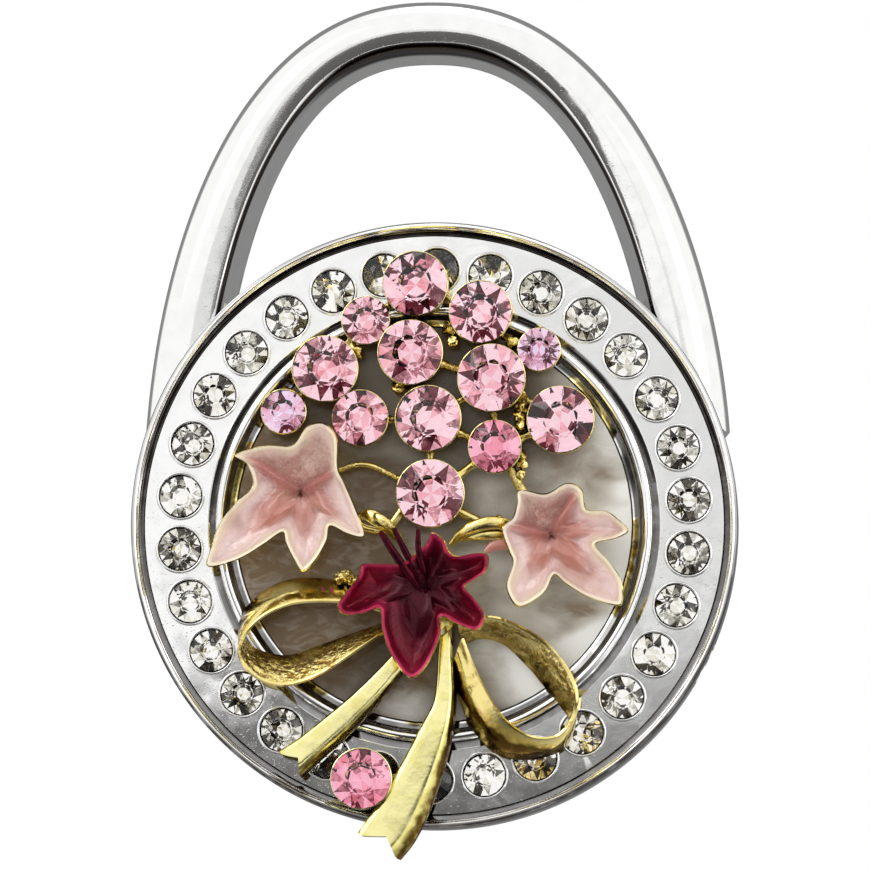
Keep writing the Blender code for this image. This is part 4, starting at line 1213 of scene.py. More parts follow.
def pin_shape(disc, shackle):
    """The hinge pin, with round ends, so that its lower one stays behind the disc's edge."""
    x, z = hinge_axis(disc, shackle)
    radius = shackle.pin_hole_radius - PIN_PLAY_MM * MM
    low = -math.sqrt((disc.rim_radius - PIN_MARGIN_MM * MM) ** 2 - (x + radius) ** 2)
    sections = []
    for end, way in ((low, 1), (PIN_TOP_MM * MM, -1)):
        dome = []
        for step in range(1, 9):
            a = math.pi / 2 * step / 8
            y = end + way * radius * (1 - math.cos(a))
            out = radius * math.sin(a)
            turns = [math.tau * k / HOLE_SIDES for k in range(HOLE_SIDES)]
            dome.append([(x + out * math.cos(b), y, z + out * math.sin(b)) for b in turns])
        sections += dome[::way]
    bm = bmesh.new()
    loft(bm, sections)
    return new_object(bm, "domed_pin")


# Shapes of the stones, the bouquet and the bow


def cut_stone(bm, x, y, radius, girdle_top, draw):
    """A brilliant-cut stone, set a little askew. Each facet of its foiled back has a tone of its own, a
    painted reflection.
    """
    sides = 8
    turn = draw.uniform(0.0, math.tau)
    tilt = Matrix.Rotation(draw.uniform(0.01, 0.07), 4, Vector((math.cos(turn), math.sin(turn), 0)))
    middle = Vector((x, y, girdle_top))
    tone = bm.faces.layers.float.new("tone")

    def ring(count, shares, shift=0.0):
        out, up = shares
        made = []
        for i in range(count):
            a = turn + math.tau * (i + shift) / count
            place = tilt @ (Vector((math.cos(a) * out, math.sin(a) * out, up)) * radius)
            made.append(bm.verts.new(middle + place))
        return made

    def clear(*corners):
        made = bm.faces.new(corners)
        made.material_index = GLASS_SLOT
        made[tone] = 1.0

    def foiled(bright, *corners):
        made = bm.faces.new(corners)
        made.material_index = FOIL_SLOT
        made[tone] = draw.choice(FACET_REFLECTION_TONES[bright]) + draw.uniform(-0.08, 0.08)

    table = ring(sides, TABLE_SHARES)
    star = ring(sides, STAR_SHARES, 0.5)
    top = ring(sides * 2, GIRDLE_SHARES)
    low = ring(sides * 2, GIRDLE_FOOT_SHARES)
    deep = ring(sides, BACK_SHARES, 0.5)
    point = bm.verts.new(middle + tilt @ Vector((0, 0, -STONE_DEPTH_SHARE * radius)))
    clear(*table)
    for i in range(sides):
        j, a, b, c = (i + 1) % sides, 2 * i, 2 * i + 1, (2 * i + 2) % (2 * sides)
        clear(table[i], table[j], star[i])
        clear(table[j], star[i], top[c], star[j])
        clear(star[i], top[a], top[b])
        clear(star[i], top[b], top[c])
        foiled(0, top[a], low[a], low[b], top[b])
        foiled(0, top[b], low[b], low[c], top[c])
        foiled(i % 2, deep[i], low[a], low[b])
        foiled(1 - i % 2, deep[i], low[b], low[c])
        foiled(0, deep[i], low[c], deep[j])
        foiled(1, point, deep[i], deep[j])


def cup_girdle(cup, stones):
    """Radius of a cup's stone and the level of its girdle's top."""
    radius = cup[2] * MM - stones.cup_wall - stones.cup_gap
    seat = BOUQUET_LEVEL_MM * MM + stones.cup_floor + stones.cup_gap
    return radius, seat + radius * STONE_DEPTH_SHARE


def stone_cup(bm, cup, stones):
    """A thin cup with a rounded brim that grips its stone."""
    _, girdle = cup_girdle(cup, stones)
    x, y, outer = (value * MM for value in cup)
    base = BOUQUET_LEVEL_MM * MM
    wall = stones.cup_wall
    profile = [
        (outer * 0.80, base),
        (outer * 0.93, base + 0.12 * MM),
        (outer * 0.985, base + 0.5 * MM),
        (outer, girdle - 0.16 * MM),
        (outer - wall * 0.15, girdle - 0.07 * MM),
        (outer - wall * 0.55, girdle - 0.05 * MM),
        (outer - wall * 0.95, girdle - 0.09 * MM),
        (outer - wall, base + stones.cup_floor),
    ]
    turned(bm, x, y, profile, 48)


def cup_bars(bm, base):
    """The bars that join the cups, thinner in their middles."""
    draw = random.Random(3)
    for first, second in JOINED_CUPS:
        near, far = CUPS_MM[first - 1], CUPS_MM[second - 1]
        a, b = Vector(near[:2]), Vector(far[:2])
        along = (b - a).normalized()
        a, b = a + along * (near[2] - 0.1), b - along * (far[2] - 0.1)
        level = base + (0.05 + STEM_RADIUS_MM) * MM + draw.uniform(0.0, 0.2) * MM
        points = [Vector((*a.lerp(b, t / 6) * MM, level)) for t in range(7)]
        radii = [STEM_RADIUS_MM * MM * (1.15 - 0.35 * math.sin(math.pi * t / 6)) for t in range(7)]
        tube(bm, points, radii)


def nugget(bm, x, y, z, radius):
    """A small rough lump of gold."""
    middle = Vector((x, y, z))
    made = bmesh.ops.create_icosphere(bm, subdivisions=3, radius=radius, matrix=Matrix.Translation(middle))
    for vert in made["verts"]:
        swell = 1 + 0.5 * noise.noise(vert.co * 2600.0) + 0.25 * noise.noise(vert.co * 6100.0)
        vert.co = middle + (vert.co - middle) * swell


def leaf(bm, base, half, lift, line):
    """A gold leaf that rises from its root and comes down again."""

    def level(t):
        return base + (lift * (0.35 + 0.65 * math.sin(math.pi * min(1.0, t * 0.9 + 0.1)))) * MM

    strand(bm, line, level, half * MM, (0.18, 0.82, 0.08), 16, 0.45)


def lily_height(at, out, edge, inside, seam):
    """Height of a place on a petal, in shares of the lily's height."""
    height = TROUGH[-1][1]
    for (near, low), (far, high) in zip(TROUGH, TROUGH[1:]):
        if near <= out <= far:
            height = low + (high - low) * step_up(out, near, far)
    rim = max(0.0, 1 - edge / (RIM_WIDTH_MM * MM))
    height += RIM_RISE * rim**1.7 + LIP_RISE * math.exp(-((edge / MM - 0.2) / 0.13) ** 2)
    height += SEAM_RISE * seam - BOWL_DEPTH * inside * (1 - out)
    wobble = noise.noise(Vector((at.x, at.y, 0)) * 700) * 0.05
    return height + wobble * (1 - out)


def lily_place(at, out, edge_tree, bowl):
    """Height and marks of a place on a petal, from how near it is to the edge, a seam and the bowl."""
    edge = edge_tree.find((at.x, at.y, 0.0))[2]
    turn = math.degrees(math.atan2(at.y, at.x))
    middle, half = sum(bowl) / 2, (bowl[1] - bowl[0]) / 2
    aside = abs((turn - middle + 180) % 360 - 180)
    inside = step_up(half - aside, -6, 10) * step_up(out, 0.04, 0.16)
    apart = at.length * abs(math.sin(math.radians(aside - half))) if abs(aside - half) < 90 else MM
    width = SEAM_WIDTH_MM * MM
    seam = math.exp(-((apart / width) ** 2)) * (1 - step_up(out, 0.70, 0.98))
    tinted = math.exp(-((apart / (1.9 * width)) ** 2)) * (1 - step_up(out, 0.8, 1.0))
    lip = max(0.0, 1 - edge / (LIP_WIDTH_MM * MM))
    marks = (out, lip, inside * (1 - step_up(out, 0.72, 0.95)), tinted)
    return lily_height(at, out, edge, inside, seam), marks


def lily(name, place, shares, foot, bowl):
    """A cast flower: spoon-shaped petals with a raised edge round a bowl, enamel on top and gold under it."""
    size = LILY_SIZE_MM * MM
    outline = [p * size for p in rounded(shares, 8, closed=True)]
    edge_tree = kdtree.KDTree(len(outline))
    for i, p in enumerate(outline):
        edge_tree.insert((p.x, p.y, 0.0), i)
    edge_tree.balance()
    height = LILY_HEIGHT_MM * MM
    middle = Vector(place) * MM
    bm = bmesh.new()
    layers = [bm.verts.layers.float.new(key) for key in LILY_MARKS]
    turn_layer = bm.verts.layers.float_vector.new("turn")

    def ring(out, drop=0.0, spread=0.0, level=None):
        made = []
        for p in outline:
            at = p * out
            up, marks = lily_place(at, out, edge_tree, bowl)
            z = foot * MM + (height * up - drop if level is None else level)
            side = p.normalized() * spread
            vert = bm.verts.new((middle.x + at.x + side.x, middle.y + at.y + side.y, z))
            for layer, value in zip(layers, marks):
                vert[layer] = value
            a = math.atan2(p.y, p.x)
            vert[turn_layer] = (math.cos(a) * 9.0, math.sin(a) * 9.0, out * 1.3)
            made.append(vert)
        return made

    edge = LILY_EDGE_MM * MM
    rings = [ring(0.03 + 0.97 * (k / LILY_RINGS) ** 0.8) for k in range(LILY_RINGS + 1)]
    rings += [ring(1.0, edge * drop, spread * MM) for drop, spread in LILY_EDGE_RINGS]
    rings += [ring(0.72, level=height * 0.12), ring(0.45, level=0.0)]
    skin(bm, rings[:LILY_RINGS + 1], 0)
    skin(bm, rings[LILY_RINGS:], 1)
    bm.faces.new(rings[0]).material_index = 0
    bm.faces.new(rings[-1]).material_index = 1
    return new_object(bm, name)


def loop_section(back, front, along):
    """A ribbon's section. Its points 0 to 2 are on one side, 5 to 7 on the other, the rest on its edges."""
    half = RIBBON_THICKNESS_MM * MM / 2
    width = front - back
    normal = along.cross(width).normalized() * half
    edge = width.normalized() * half
    bow = normal * 0.6
    return [
        back + normal + edge,
        back.lerp(front, 0.5) + normal - bow * 0.5,
        front + normal - edge,
        front + normal * 0.5,
        front - normal * 0.5,
        front - normal - edge,
        back.lerp(front, 0.5) - normal - bow * 0.5,
        back - normal + edge,
        back - normal * 0.5,
        back + normal * 0.5,
    ]


def ribbon_loop(bm, far, near, low, inside, painted_dark_stretch):
    """A strip of ribbon on edge, from its far edge against the disc to its near edge.

    Inside gives the points of the rough side, and the last argument the stretch of the smooth side where a
    dark reflection is painted. The edge against the disc takes painted shade.
    """
    rise = LOOP_RISE_MM * MM
    far, near = ([Vector((x, y, 0)) * MM for x, y in line] for line in (far, near))
    far, near = rounded(far, RIBBON_STEPS), rounded(near, RIBBON_STEPS)
    last = len(far) - 1
    sections = []
    for i, (back, front) in enumerate(zip(far, near)):
        before, after = max(i - 1, 0), min(i + 1, last)
        along = (far[after] - far[before]) + (near[after] - near[before])
        back = back + Vector((0, 0, low))
        front = front + Vector((0, 0, low + rise))
        sections.append(loop_section(back, front, along))
    soil = bm.verts.layers.float["soil"]
    rings = loft(bm, sections, BRIGHT_SLOT)
    start, end = painted_dark_stretch
    for i, ring in enumerate(rings):
        t = i / last
        stretch = step_up(t, start - 0.05, start) * (1 - step_up(t, end, end + 0.05))
        for k, vert in enumerate(ring):
            # Painted shade on the edge against the disc, and a painted dark reflection along the given
            # stretch
            at_back = k in (0, 7, 8, 9)
            outside = k not in inside and k not in (2, 3, 4, 5)
            vert[soil] = max(0.75 * at_back, stretch * outside)
    for ring, after in zip(rings, rings[1:]):
        for i in inside:
            face = bm.faces.get((ring[i], ring[i + 1], after[i + 1], after[i]))
            face.material_index = ROUGH_SLOT


def tail_painted_shade(across, share):
    """How much painted shade a place on a tail takes: towards its bent edges, its root and its end."""
    return max(
        0.95 * step_up(across, 0.64, 0.95),
        0.85 * (1 - step_up(across, 0.0, 0.11)),
        0.75 * (1 - step_up(share, 0.03, 0.22)),
        0.80 * step_up(share, 0.92, 1.0),
    )


def tail_level(across, rise, lift):
    """Height of a place on a tail over its underside, higher towards its end and lower at bent edges."""
    side = abs(across * 2 - 1)
    crown = (1 - side**4) * 0.08 * MM
    far_fall = (max(0.0, across - 0.62) / 0.38) ** 2.5 * rise * 0.85
    near_fall = max(0.0, 0.07 - across) / 0.07 * 0.12 * MM
    return rise + lift + crown - (far_fall + near_fall)


def ribbon_tail(bm, edges, low, end_lift):
    """A flat ribbon's end with a notch, gently arched along and across."""
    left, right = ([Vector(p) * MM for p in edge] for edge in edges)
    left, right = rounded(left, RIBBON_STEPS), rounded(right, RIBBON_STEPS)
    rows = len(left) - 1
    soil = bm.verts.layers.float["soil"]

    def along(line, share):
        at = share * rows
        i = min(int(at), rows - 1)
        return line[i].lerp(line[i + 1], at - i)

    def quads(grid):
        for r in range(rows):
            for c in range(TAIL_COLUMNS):
                bm.faces.new((grid[r][c], grid[r][c + 1], grid[r + 1][c + 1], grid[r + 1][c]))

    top, bottom = [], []
    for r in range(rows + 1):
        top.append([])
        bottom.append([])
        for c in range(TAIL_COLUMNS + 1):
            across = c / TAIL_COLUMNS
            side = abs(across * 2 - 1)
            short = TAIL_NOTCH_SHARE * (1 - side) + TAIL_ROUNDING_SHARE * step_up(side, 0.8, 1.0)
            share = r / rows * (1 - short)
            place = along(left, share).lerp(along(right, share), across)
            lift = end_lift * share**1.05 * MM
            z = low + tail_level(across, TAIL_RISE_MM * MM, lift)
            over = bm.verts.new((place.x, place.y, z))
            under = bm.verts.new((place.x, place.y, low + lift * 0.6))
            # The top takes painted shade by place, the underside takes it in full
            over[soil] = tail_painted_shade(across, share)
            under[soil] = 1.0
            top[-1].append(over)
            bottom[-1].append(under)
    quads(top)
    quads(bottom)
    rim = [(0, c) for c in range(TAIL_COLUMNS + 1)] + [(r, TAIL_COLUMNS) for r in range(1, rows + 1)]
    rim += [(rows, c) for c in range(TAIL_COLUMNS - 1, -1, -1)] + [(r, 0) for r in range(rows - 1, 0, -1)]
    for (r, c), (s, d) in zip(rim, rim[1:] + rim[:1]):
        bm.faces.new((top[r][c], top[s][d], bottom[s][d], bottom[r][c]))


def knot_shape(bm, disc, base):
    """The bow's knot under the middle lily, and its post."""
    x, y, radius = (value * MM for value in KNOT_MM)
    profile = [
        (radius * 0.9, base),
        (radius, base + 0.3 * MM),
        (radius, base + (KNOT_RISE_MM - 0.4) * MM),
        (radius * 0.8, base + KNOT_RISE_MM * MM),
    ]
    turned(bm, x, y, profile, 40)
    post_radius, depth = (value * MM for value in POST_MM)
    bar(bm, (x, y, disc.face_level - depth), (x, y, base + 0.5 * MM), post_radius, 24)


def enamel_streak(bm, x, y, base):
    """A thin line of spilt enamel down a loop's side."""
    run_x, run_y = STREAK_RUN_MM
    points = []
    for i in range(5):
        t = i / 4
        point = Vector((x + run_x * t, y + run_y * t, 0)) * MM
        point.z = base + LOOP_RISE_MM * MM * (0.42 + 0.13 * i) + 0.05 * MM
        points.append(point)
    tube(bm, points, [STREAK_RADIUS_MM * MM] * 5, sides=8)


# The studio's parts


def ray_share(tree, *rays):
    """1 for light along a ray of one of these kinds, else 0."""
    path = tree.nodes.new("ShaderNodeLightPath")
    share = path.outputs[rays[0]]
    for ray in rays[1:]:
        either = tree.nodes.new("ShaderNodeMath")
        either.operation = "MAXIMUM"
        tree.links.new(share, either.inputs[0])
        tree.links.new(path.outputs[ray], either.inputs[1])
        share = either.outputs[0]
    return share


def stage_sheet(name, corners, finish):
    """A flat face through three corners, with a UV map along its first edge and its second."""
    origin, across, down = corners[0], corners[1] - corners[0], corners[2] - corners[1]
    bm = bmesh.new()
    place = bm.loops.layers.uv.new("place")
    shares = ((0, 0), (1, 0), (1, 1), (0, 1))
    face = bm.faces.new([bm.verts.new(origin + across * u + down * v) for u, v in shares])
    for loop, share in zip(face.loops, shares):
        loop[place].uv = share
    made = mesh_object(bm, name)
    made.data.materials.append(finish.material)
    return made


def card_finish(name, first, last, soft):
    """Plain light from one colour to another, that fades out along the card's edges."""
    f = Finish(name)
    split = f.add("SeparateXYZ", {0: f.add("UVMap", uv_map="place")}).node
    across, down = (
        f.spread(f.maths("MINIMUM", share, f.maths("SUBTRACT", 1.0, share)), 0.0, soft)
        for share in (split.outputs["X"], split.outputs["Y"])
    )
    tone = f.blend(split.outputs["Y"], first, last)
    f.glow(f.times(across, down), f.add("BsdfTransparent"), tone)
    return f


# Operators, one for each piece or group of like pieces


class PURSEHOOK_OT_stage(bpy.types.Operator):
    """Build the studio: camera, lamps, floor and the cards that polished metal reflects"""

    bl_idname = "pursehook.stage"
    bl_label = "Studio"

    def execute(self, context):
        studio = context.scene.purse_hook_studio
        disc, _, _ = sizes()
        x, y = (value * MM for value in PICTURE_MIDDLE_MM)
        target = stand_up() @ Vector((x, y, disc.face_level))
        context.scene.camera = self.make_camera(studio, target)
        context.scene.world = self.make_world(studio)
        self.add_lamps(studio, target)
        self.add_floor(studio)
        self.add_cards(studio, target)
        context.scene.view_settings.view_transform = "Standard"
        return {"FINISHED"}

    def make_camera(self, studio, target):
        data = bpy.data.cameras.new("camera")
        data.sensor_width = 36.0
        data.lens = data.sensor_width * studio.camera_distance / studio.frame_width
        data.clip_start = 0.01
        data.clip_end = 20.0
        made = link_object("camera", data)
        a, e = studio.camera_azimuth, studio.camera_elevation
        back = Vector((math.sin(a) * math.cos(e), -math.cos(a) * math.cos(e), math.sin(e)))
        made.location = target + back * studio.camera_distance
        made.rotation_euler = (-back).to_track_quat("-Z", "Y").to_euler()
        return made

    def make_world(self, studio):
        """White to the camera, in reflections and through stones, and dimmer as light on the pieces."""
        made = bpy.data.worlds.new("studio")
        made.use_nodes = True
        tree = made.node_tree
        room = tree.nodes["Background"]
        white = tree.nodes.new("ShaderNodeBackground")
        for background, strength in ((room, studio.ambient), (white, 1.0)):
            background.inputs["Color"].default_value = (1, 1, 1, 1)
            background.inputs["Strength"].default_value = strength
        mix = tree.nodes.new("ShaderNodeMixShader")
        seen = ray_share(tree, "Is Camera Ray", "Is Glossy Ray", "Is Transmission Ray")
        for socket, entry in zip((seen, room.outputs[0], white.outputs[0]), mix.inputs):
            tree.links.new(socket, entry)
        tree.links.new(mix.outputs[0], tree.nodes["World Output"].inputs["Surface"])
        return made

    def add_lamps(self, studio, target):
        lamps = (
            ("key_lamp", studio.key_power, (-0.42, -0.50, 0.40), 0.42),
            ("fill_lamp", studio.fill_power, (0.55, -0.42, 0.16), 0.46),
            ("top_lamp", studio.top_power, (0.05, 0.10, 0.62), 0.40),
        )
        for name, power, place, width in lamps:
            data = bpy.data.lights.new(name, "AREA")
            data.shape = "SQUARE"
            data.size = width
            data.energy = power
            lamp = link_object(name, data)
            lamp.location = Vector(place) + target
            lamp.rotation_euler = (target - lamp.location).to_track_quat("-Z", "Y").to_euler()

    def add_floor(self, studio):
        """A pale floor that takes shadows, and that reflections and stones show as white."""
        f = Finish("pale_floor")
        f.surface(Base_Color=(0.93, 0.93, 0.93), Roughness=0.9)
        f.glow(ray_share(f.tree, "Is Glossy Ray", "Is Transmission Ray"), f.shader.outputs[0], (1, 1, 1))
        reach, level = 3.0, -studio.floor_drop
        corners = [Vector((x, y, level)) for x, y in ((-reach, -reach), (reach, -reach), (reach, reach))]
        floor = stage_sheet("floor", corners, f)

    def add_cards(self, studio, target):
        """Soft-edged cards that only the polish shows: three corners, two colours and the edges' softness."""
        level = -studio.floor_drop + 2 * MM
        rear = level - MM
        front = target.y - studio.camera_distance * 0.9
        top = target.z - 10 * MM
        sky = target.z + 0.095
        under = level - 0.25
        dark, brown, grey = (0.004, 0.004, 0.004), (0.06, 0.052, 0.045), (0.25, 0.25, 0.25)
        smoke, pale = (0.14, 0.137, 0.13), (0.78, 0.78, 0.77)
        table = ((-0.13, front, level), (0.13, front, level), (0.13, 0.10, level))
        camera = ((-0.5, front, top), (0.3, front, top + 0.074), (0.3, front, under))
        above = ((-0.07, front, sky), (0.25, front, sky), (0.25, front, sky - 0.085))
        behind = ((-0.9, 0.06, rear), (0.9, 0.06, rear), (0.9, 0.62, rear))
        wall = ((-0.8, 0.5, 0.9), (0.8, 0.5, 0.9), (0.8, 0.5, under))
        cards = (
            ("table_card", table, dark, brown, 0.25),
            ("camera_card", camera, smoke, dark, 0.012),
            ("sky_card", above, pale, pale, 0.15),
            ("rear_card", behind, grey, grey, 0.1),
            ("back_card", wall, grey, grey, 0.2),
        )
        for name, corners, first, last, soft in cards:
            finish = card_finish(name, first, last, soft)
            card = stage_sheet(name, [Vector(corner) for corner in corners], finish)
            card.visible_camera = False
            card.visible_diffuse = False
            card.visible_transmission = False
            card.visible_shadow = False


class PURSEHOOK_OT_disc(bpy.types.Operator):
    """Build the chromed disc with its rim, stone channel, seats, pockets and hinge ear"""

    bl_idname = "pursehook.disc"
    bl_label = "Disc"

    def execute(self, context):
        disc, shackle, stones = sizes()
        bm = bmesh.new()
        turned(bm, 0, 0, disc_outline(disc), DISC_SIDES)
        body = new_object(bm, "jewelled_disc")
        cuts = [
            ("DIFFERENCE", pocket_shapes(disc, shackle)),
            ("DIFFERENCE", seat_shapes(disc, stones)),
            ("UNION", ear_shape(disc, shackle)),
            ("DIFFERENCE", disc_holes(disc, shackle)),
        ]
        settle(body, cuts)
        rim = disc.rim_radius
        # Rings of painted shade in the face's grooves and on the rim's outer edge
        grooves = [(rim - outer * MM, rim - inner * MM, *dark) for outer, inner, *dark in SHADED_GROOVES_MM]
        tint = context.scene.purse_hook_colours.chrome
        chrome = chrome_finish("disc_chrome", tint, 0.000018, grooves)
        dress(body, [chrome], DISC_BODY, ["disc_body"], sharp=28.0)

        rims = bmesh.new()
        out, half_width, half_height = (value * MM for value in SEAT_LIP_MM)
        for x, y, _ in clear_places(stones):
            place = Vector((x, y, disc.face_level))
            hoop(rims, place, stones.clear_radius + out, half_width, half_height)
        dress(new_object(rims, "seat_rims"), [chrome], DISC_BODY)
        return {"FINISHED"}


class PURSEHOOK_OT_shackle(bpy.types.Operator):
    """Build the arched shackle with its rounded free leg and its hinge knuckle"""

    bl_idname = "pursehook.shackle"
    bl_label = "Shackle"

    def execute(self, context):
        disc, shackle, _ = sizes()
        arch = arch_shape(shackle)
        joined = ("UNION", knuckle_shapes(disc, shackle))
        settle(arch, [joined, ("DIFFERENCE", shackle_holes(disc, shackle))])
        chrome = chrome_finish("shackle_chrome", context.scene.purse_hook_colours.chrome, 0.000015)
        dress(arch, [chrome], SHACKLE_BODY, ["shackle"], sharp=38.0)
        return {"FINISHED"}


class PURSEHOOK_OT_inlay(bpy.types.Operator):
    """Finish the mother-of-pearl inlay"""

    bl_idname = "pursehook.inlay"
    bl_label = "Inlay"

    def execute(self, context):
        colours = context.scene.purse_hook_colours
        refinish("shell_inlay", shell_finish("mother_of_pearl", colours.shell_pale, colours.shell_dark))
        return {"FINISHED"}


class PURSEHOOK_OT_clear_stones(bpy.types.Operator):
    """Set the ring of clear cut stones in the channel"""

    bl_idname = "pursehook.clear_stones"
    bl_label = "Clear stones"

    def execute(self, context):
        disc, _, stones = sizes()
        glass = glass_finish("clear_glass", context.scene.purse_hook_colours.clear_glass)
        finishes = [glass, foil_finish("silver_foil", *SILVER_FOIL_REFLECTIONS)]
        draw = random.Random(7)
        for number, (x, y, _) in enumerate(clear_places(stones), 1):
            bm = bmesh.new()
            cut_stone(bm, x, y, stones.clear_radius, disc.face_level + disc.seat_gap, draw)
            piece = new_object(bm, f"clear_chaton_{number:02d}")
            node = f"clear_stone_{number:02d}"
            dress(piece, finishes, DISC_BODY, [node], sharp=FACET_EDGE)
        return {"FINISHED"}


class PURSEHOOK_OT_pink_stones(bpy.types.Operator):
    """Set the pink cut stones in the bouquet's cups"""

    bl_idname = "pursehook.pink_stones"
    bl_label = "Pink stones"

    def execute(self, context):
        _, _, stones = sizes()
        tint = context.scene.purse_hook_colours.pink_glass
        pink = glass_finish("pink_glass", tint)
        deep = glass_finish("deep_pink_glass", mixed(tint, DEEP_PINK_SHARES))
        violet = glass_finish("violet_pink_glass", mixed(tint, VIOLET_PINK_SHARES))
        foil = foil_finish("pink_foil", *PINK_FOIL_REFLECTIONS)
        draw = random.Random(11)
        for number, cup in enumerate((*CUPS_MM, RIM_CUP_MM), 1):
            glass = deep if number in DEEP_PINK else violet if number in VIOLET_PINK else pink
            _, girdle = cup_girdle(cup, stones)
            x, y, outer = cup
            bm = bmesh.new()
            cut_stone(bm, x * MM, y * MM, (outer - 0.05) * MM, girdle + 0.1 * MM, draw)
            piece = new_object(bm, f"pink_chaton_{number:02d}")
            node = f"pink_stone_{number:02d}"
            dress(piece, [glass, foil], DISC_BODY, [node], sharp=FACET_EDGE)
        return {"FINISHED"}


class PURSEHOOK_OT_bouquet(bpy.types.Operator):
    """Build the gold casting of the bouquet: cups, bars, beads, stems, leaves and posts"""

    bl_idname = "pursehook.bouquet"
    bl_label = "Bouquet frame"

    def execute(self, context):
        colours = context.scene.purse_hook_colours
        disc, _, stones = sizes()
        base = BOUQUET_LEVEL_MM * MM
        bm = bmesh.new()
        for cup in CUPS_MM:
            stone_cup(bm, cup, stones)
        cup_bars(bm, base)
        for radius, *line in STEMS_MM:
            points = face_curve(line, base + 0.05 * MM + radius * MM)
            tube(bm, points, [radius * MM * (1 + 0.12 * noise.noise(p * 900)) for p in points])
        for x, y, radius in BEADS_MM:
            nugget(bm, x * MM, y * MM, base + (0.35 + radius) * MM, radius * 1.25 * MM)
        for half, lift, *line in LEAVES_MM:
            leaf(bm, base, half, lift, line)
        post_radius, depth = (value * MM for value in POST_MM)
        lily_pad = 1.5 * MM
        for (x, y), pad in zip(post_places()[:3], (lily_pad, lily_pad, 0.0)):
            bar(bm, (x, y, disc.face_level - depth), (x, y, base + 0.2 * MM), post_radius, 24)
            if pad:
                bar(bm, (x, y, base), (x, y, (SIDE_LILY_FOOT_MM + 0.15) * MM), pad, 32)
        gold = gold_finish("bouquet_gold", colours.gold, colours.tarnish, 0.00012, 0.10)
        dress(new_object(bm, "gold_bouquet"), [gold], DISC_BODY, ["bouquet_frame"], sharp=45.0)
        return {"FINISHED"}


class PURSEHOOK_OT_lilies(bpy.types.Operator):
    """Build the three enamelled lilies and the middle one's stamens"""

    bl_idname = "pursehook.lilies"
    bl_label = "Lilies"

    def execute(self, context):
        colours = context.scene.purse_hook_colours
        pearl, wine = self.enamels(colours)
        gold = gold_finish("lily_gold", colours.gold, colours.tarnish, 0.00006, 0.12)
        side, centre = SIDE_LILY_FOOT_MM, CENTRE_LILY_FOOT_MM
        lilies = (
            ("pearl_lily_left", "lily_left", LEFT_LILY_MM, LEFT_LILY_SHARES, side, LEFT_BOWL, pearl),
            ("pearl_lily_right", "lily_right", RIGHT_LILY_MM, RIGHT_LILY_SHARES, side, RIGHT_BOWL, pearl),
            ("wine_lily", "lily_center", CENTRE_LILY_MM, CENTRE_LILY_SHARES, centre, CENTRE_BOWL, wine),
        )
        for name, node, place, shares, foot, bowl, enamel in lilies:
            piece = lily(name, place, shares, foot, bowl)
            dress(piece, [enamel, gold], DISC_BODY, [node])
        self.add_sepal(pearl)
        self.add_stamens()
        return {"FINISHED"}

    def enamels(self, colours):
        """The side lilies' pearly enamel and the middle one's wine-red enamel."""
        # Each fold tint is painted shade; the middle lily's edge tint is a painted highlight
        tints = (colours.throat, colours.petal, colours.petal_edge, colours.petal_fold_shade, colours.dust)
        pearl = petal_finish("pearl_enamel", tints, 0.00020, 0.08, 0.20, (0.28, 0.80), (0.45, 1.2))
        tints = (WINE_THROAT, colours.wine, colours.wine_edge, WINE_FOLD_SHADE, colours.wine)
        wine = petal_finish("wine_enamel", tints, 0.00018, 0.5, 0.24, (0.25, 1.05), (0.58, 1.15), 0.2)
        return pearl, wine

    def add_sepal(self, pearl):
        bm = bmesh.new()
        level = (SIDE_LILY_FOOT_MM + 0.8) * MM
        strand(bm, SEPAL_MM, lambda _: level, 0.40 * MM, (0.2, 0.8, 0.1), 14, 0.5)
        dress(new_object(bm, "pearl_sepal"), [pearl], DISC_BODY)

    def add_stamens(self):
        bm = bmesh.new()

        def level(t):
            return (CENTRE_LILY_FOOT_MM + 2.15 - 1.25 * t**1.6) * MM

        for radius, *line in STAMENS_MM:
            strand(bm, line, level, radius * MM, (0.45, 0.75, 0.15), 12, 0.8)
        gloss = {"Metallic": 0.6, "Specular_IOR_Level": 0.2}
        enamel = strand_finish("stamen_enamel", STAMEN_DARK, STAMEN_LIT, (0.22, 0.34), **gloss)
        dress(new_object(bm, "stamens"), [enamel], DISC_BODY, sharp=45.0)


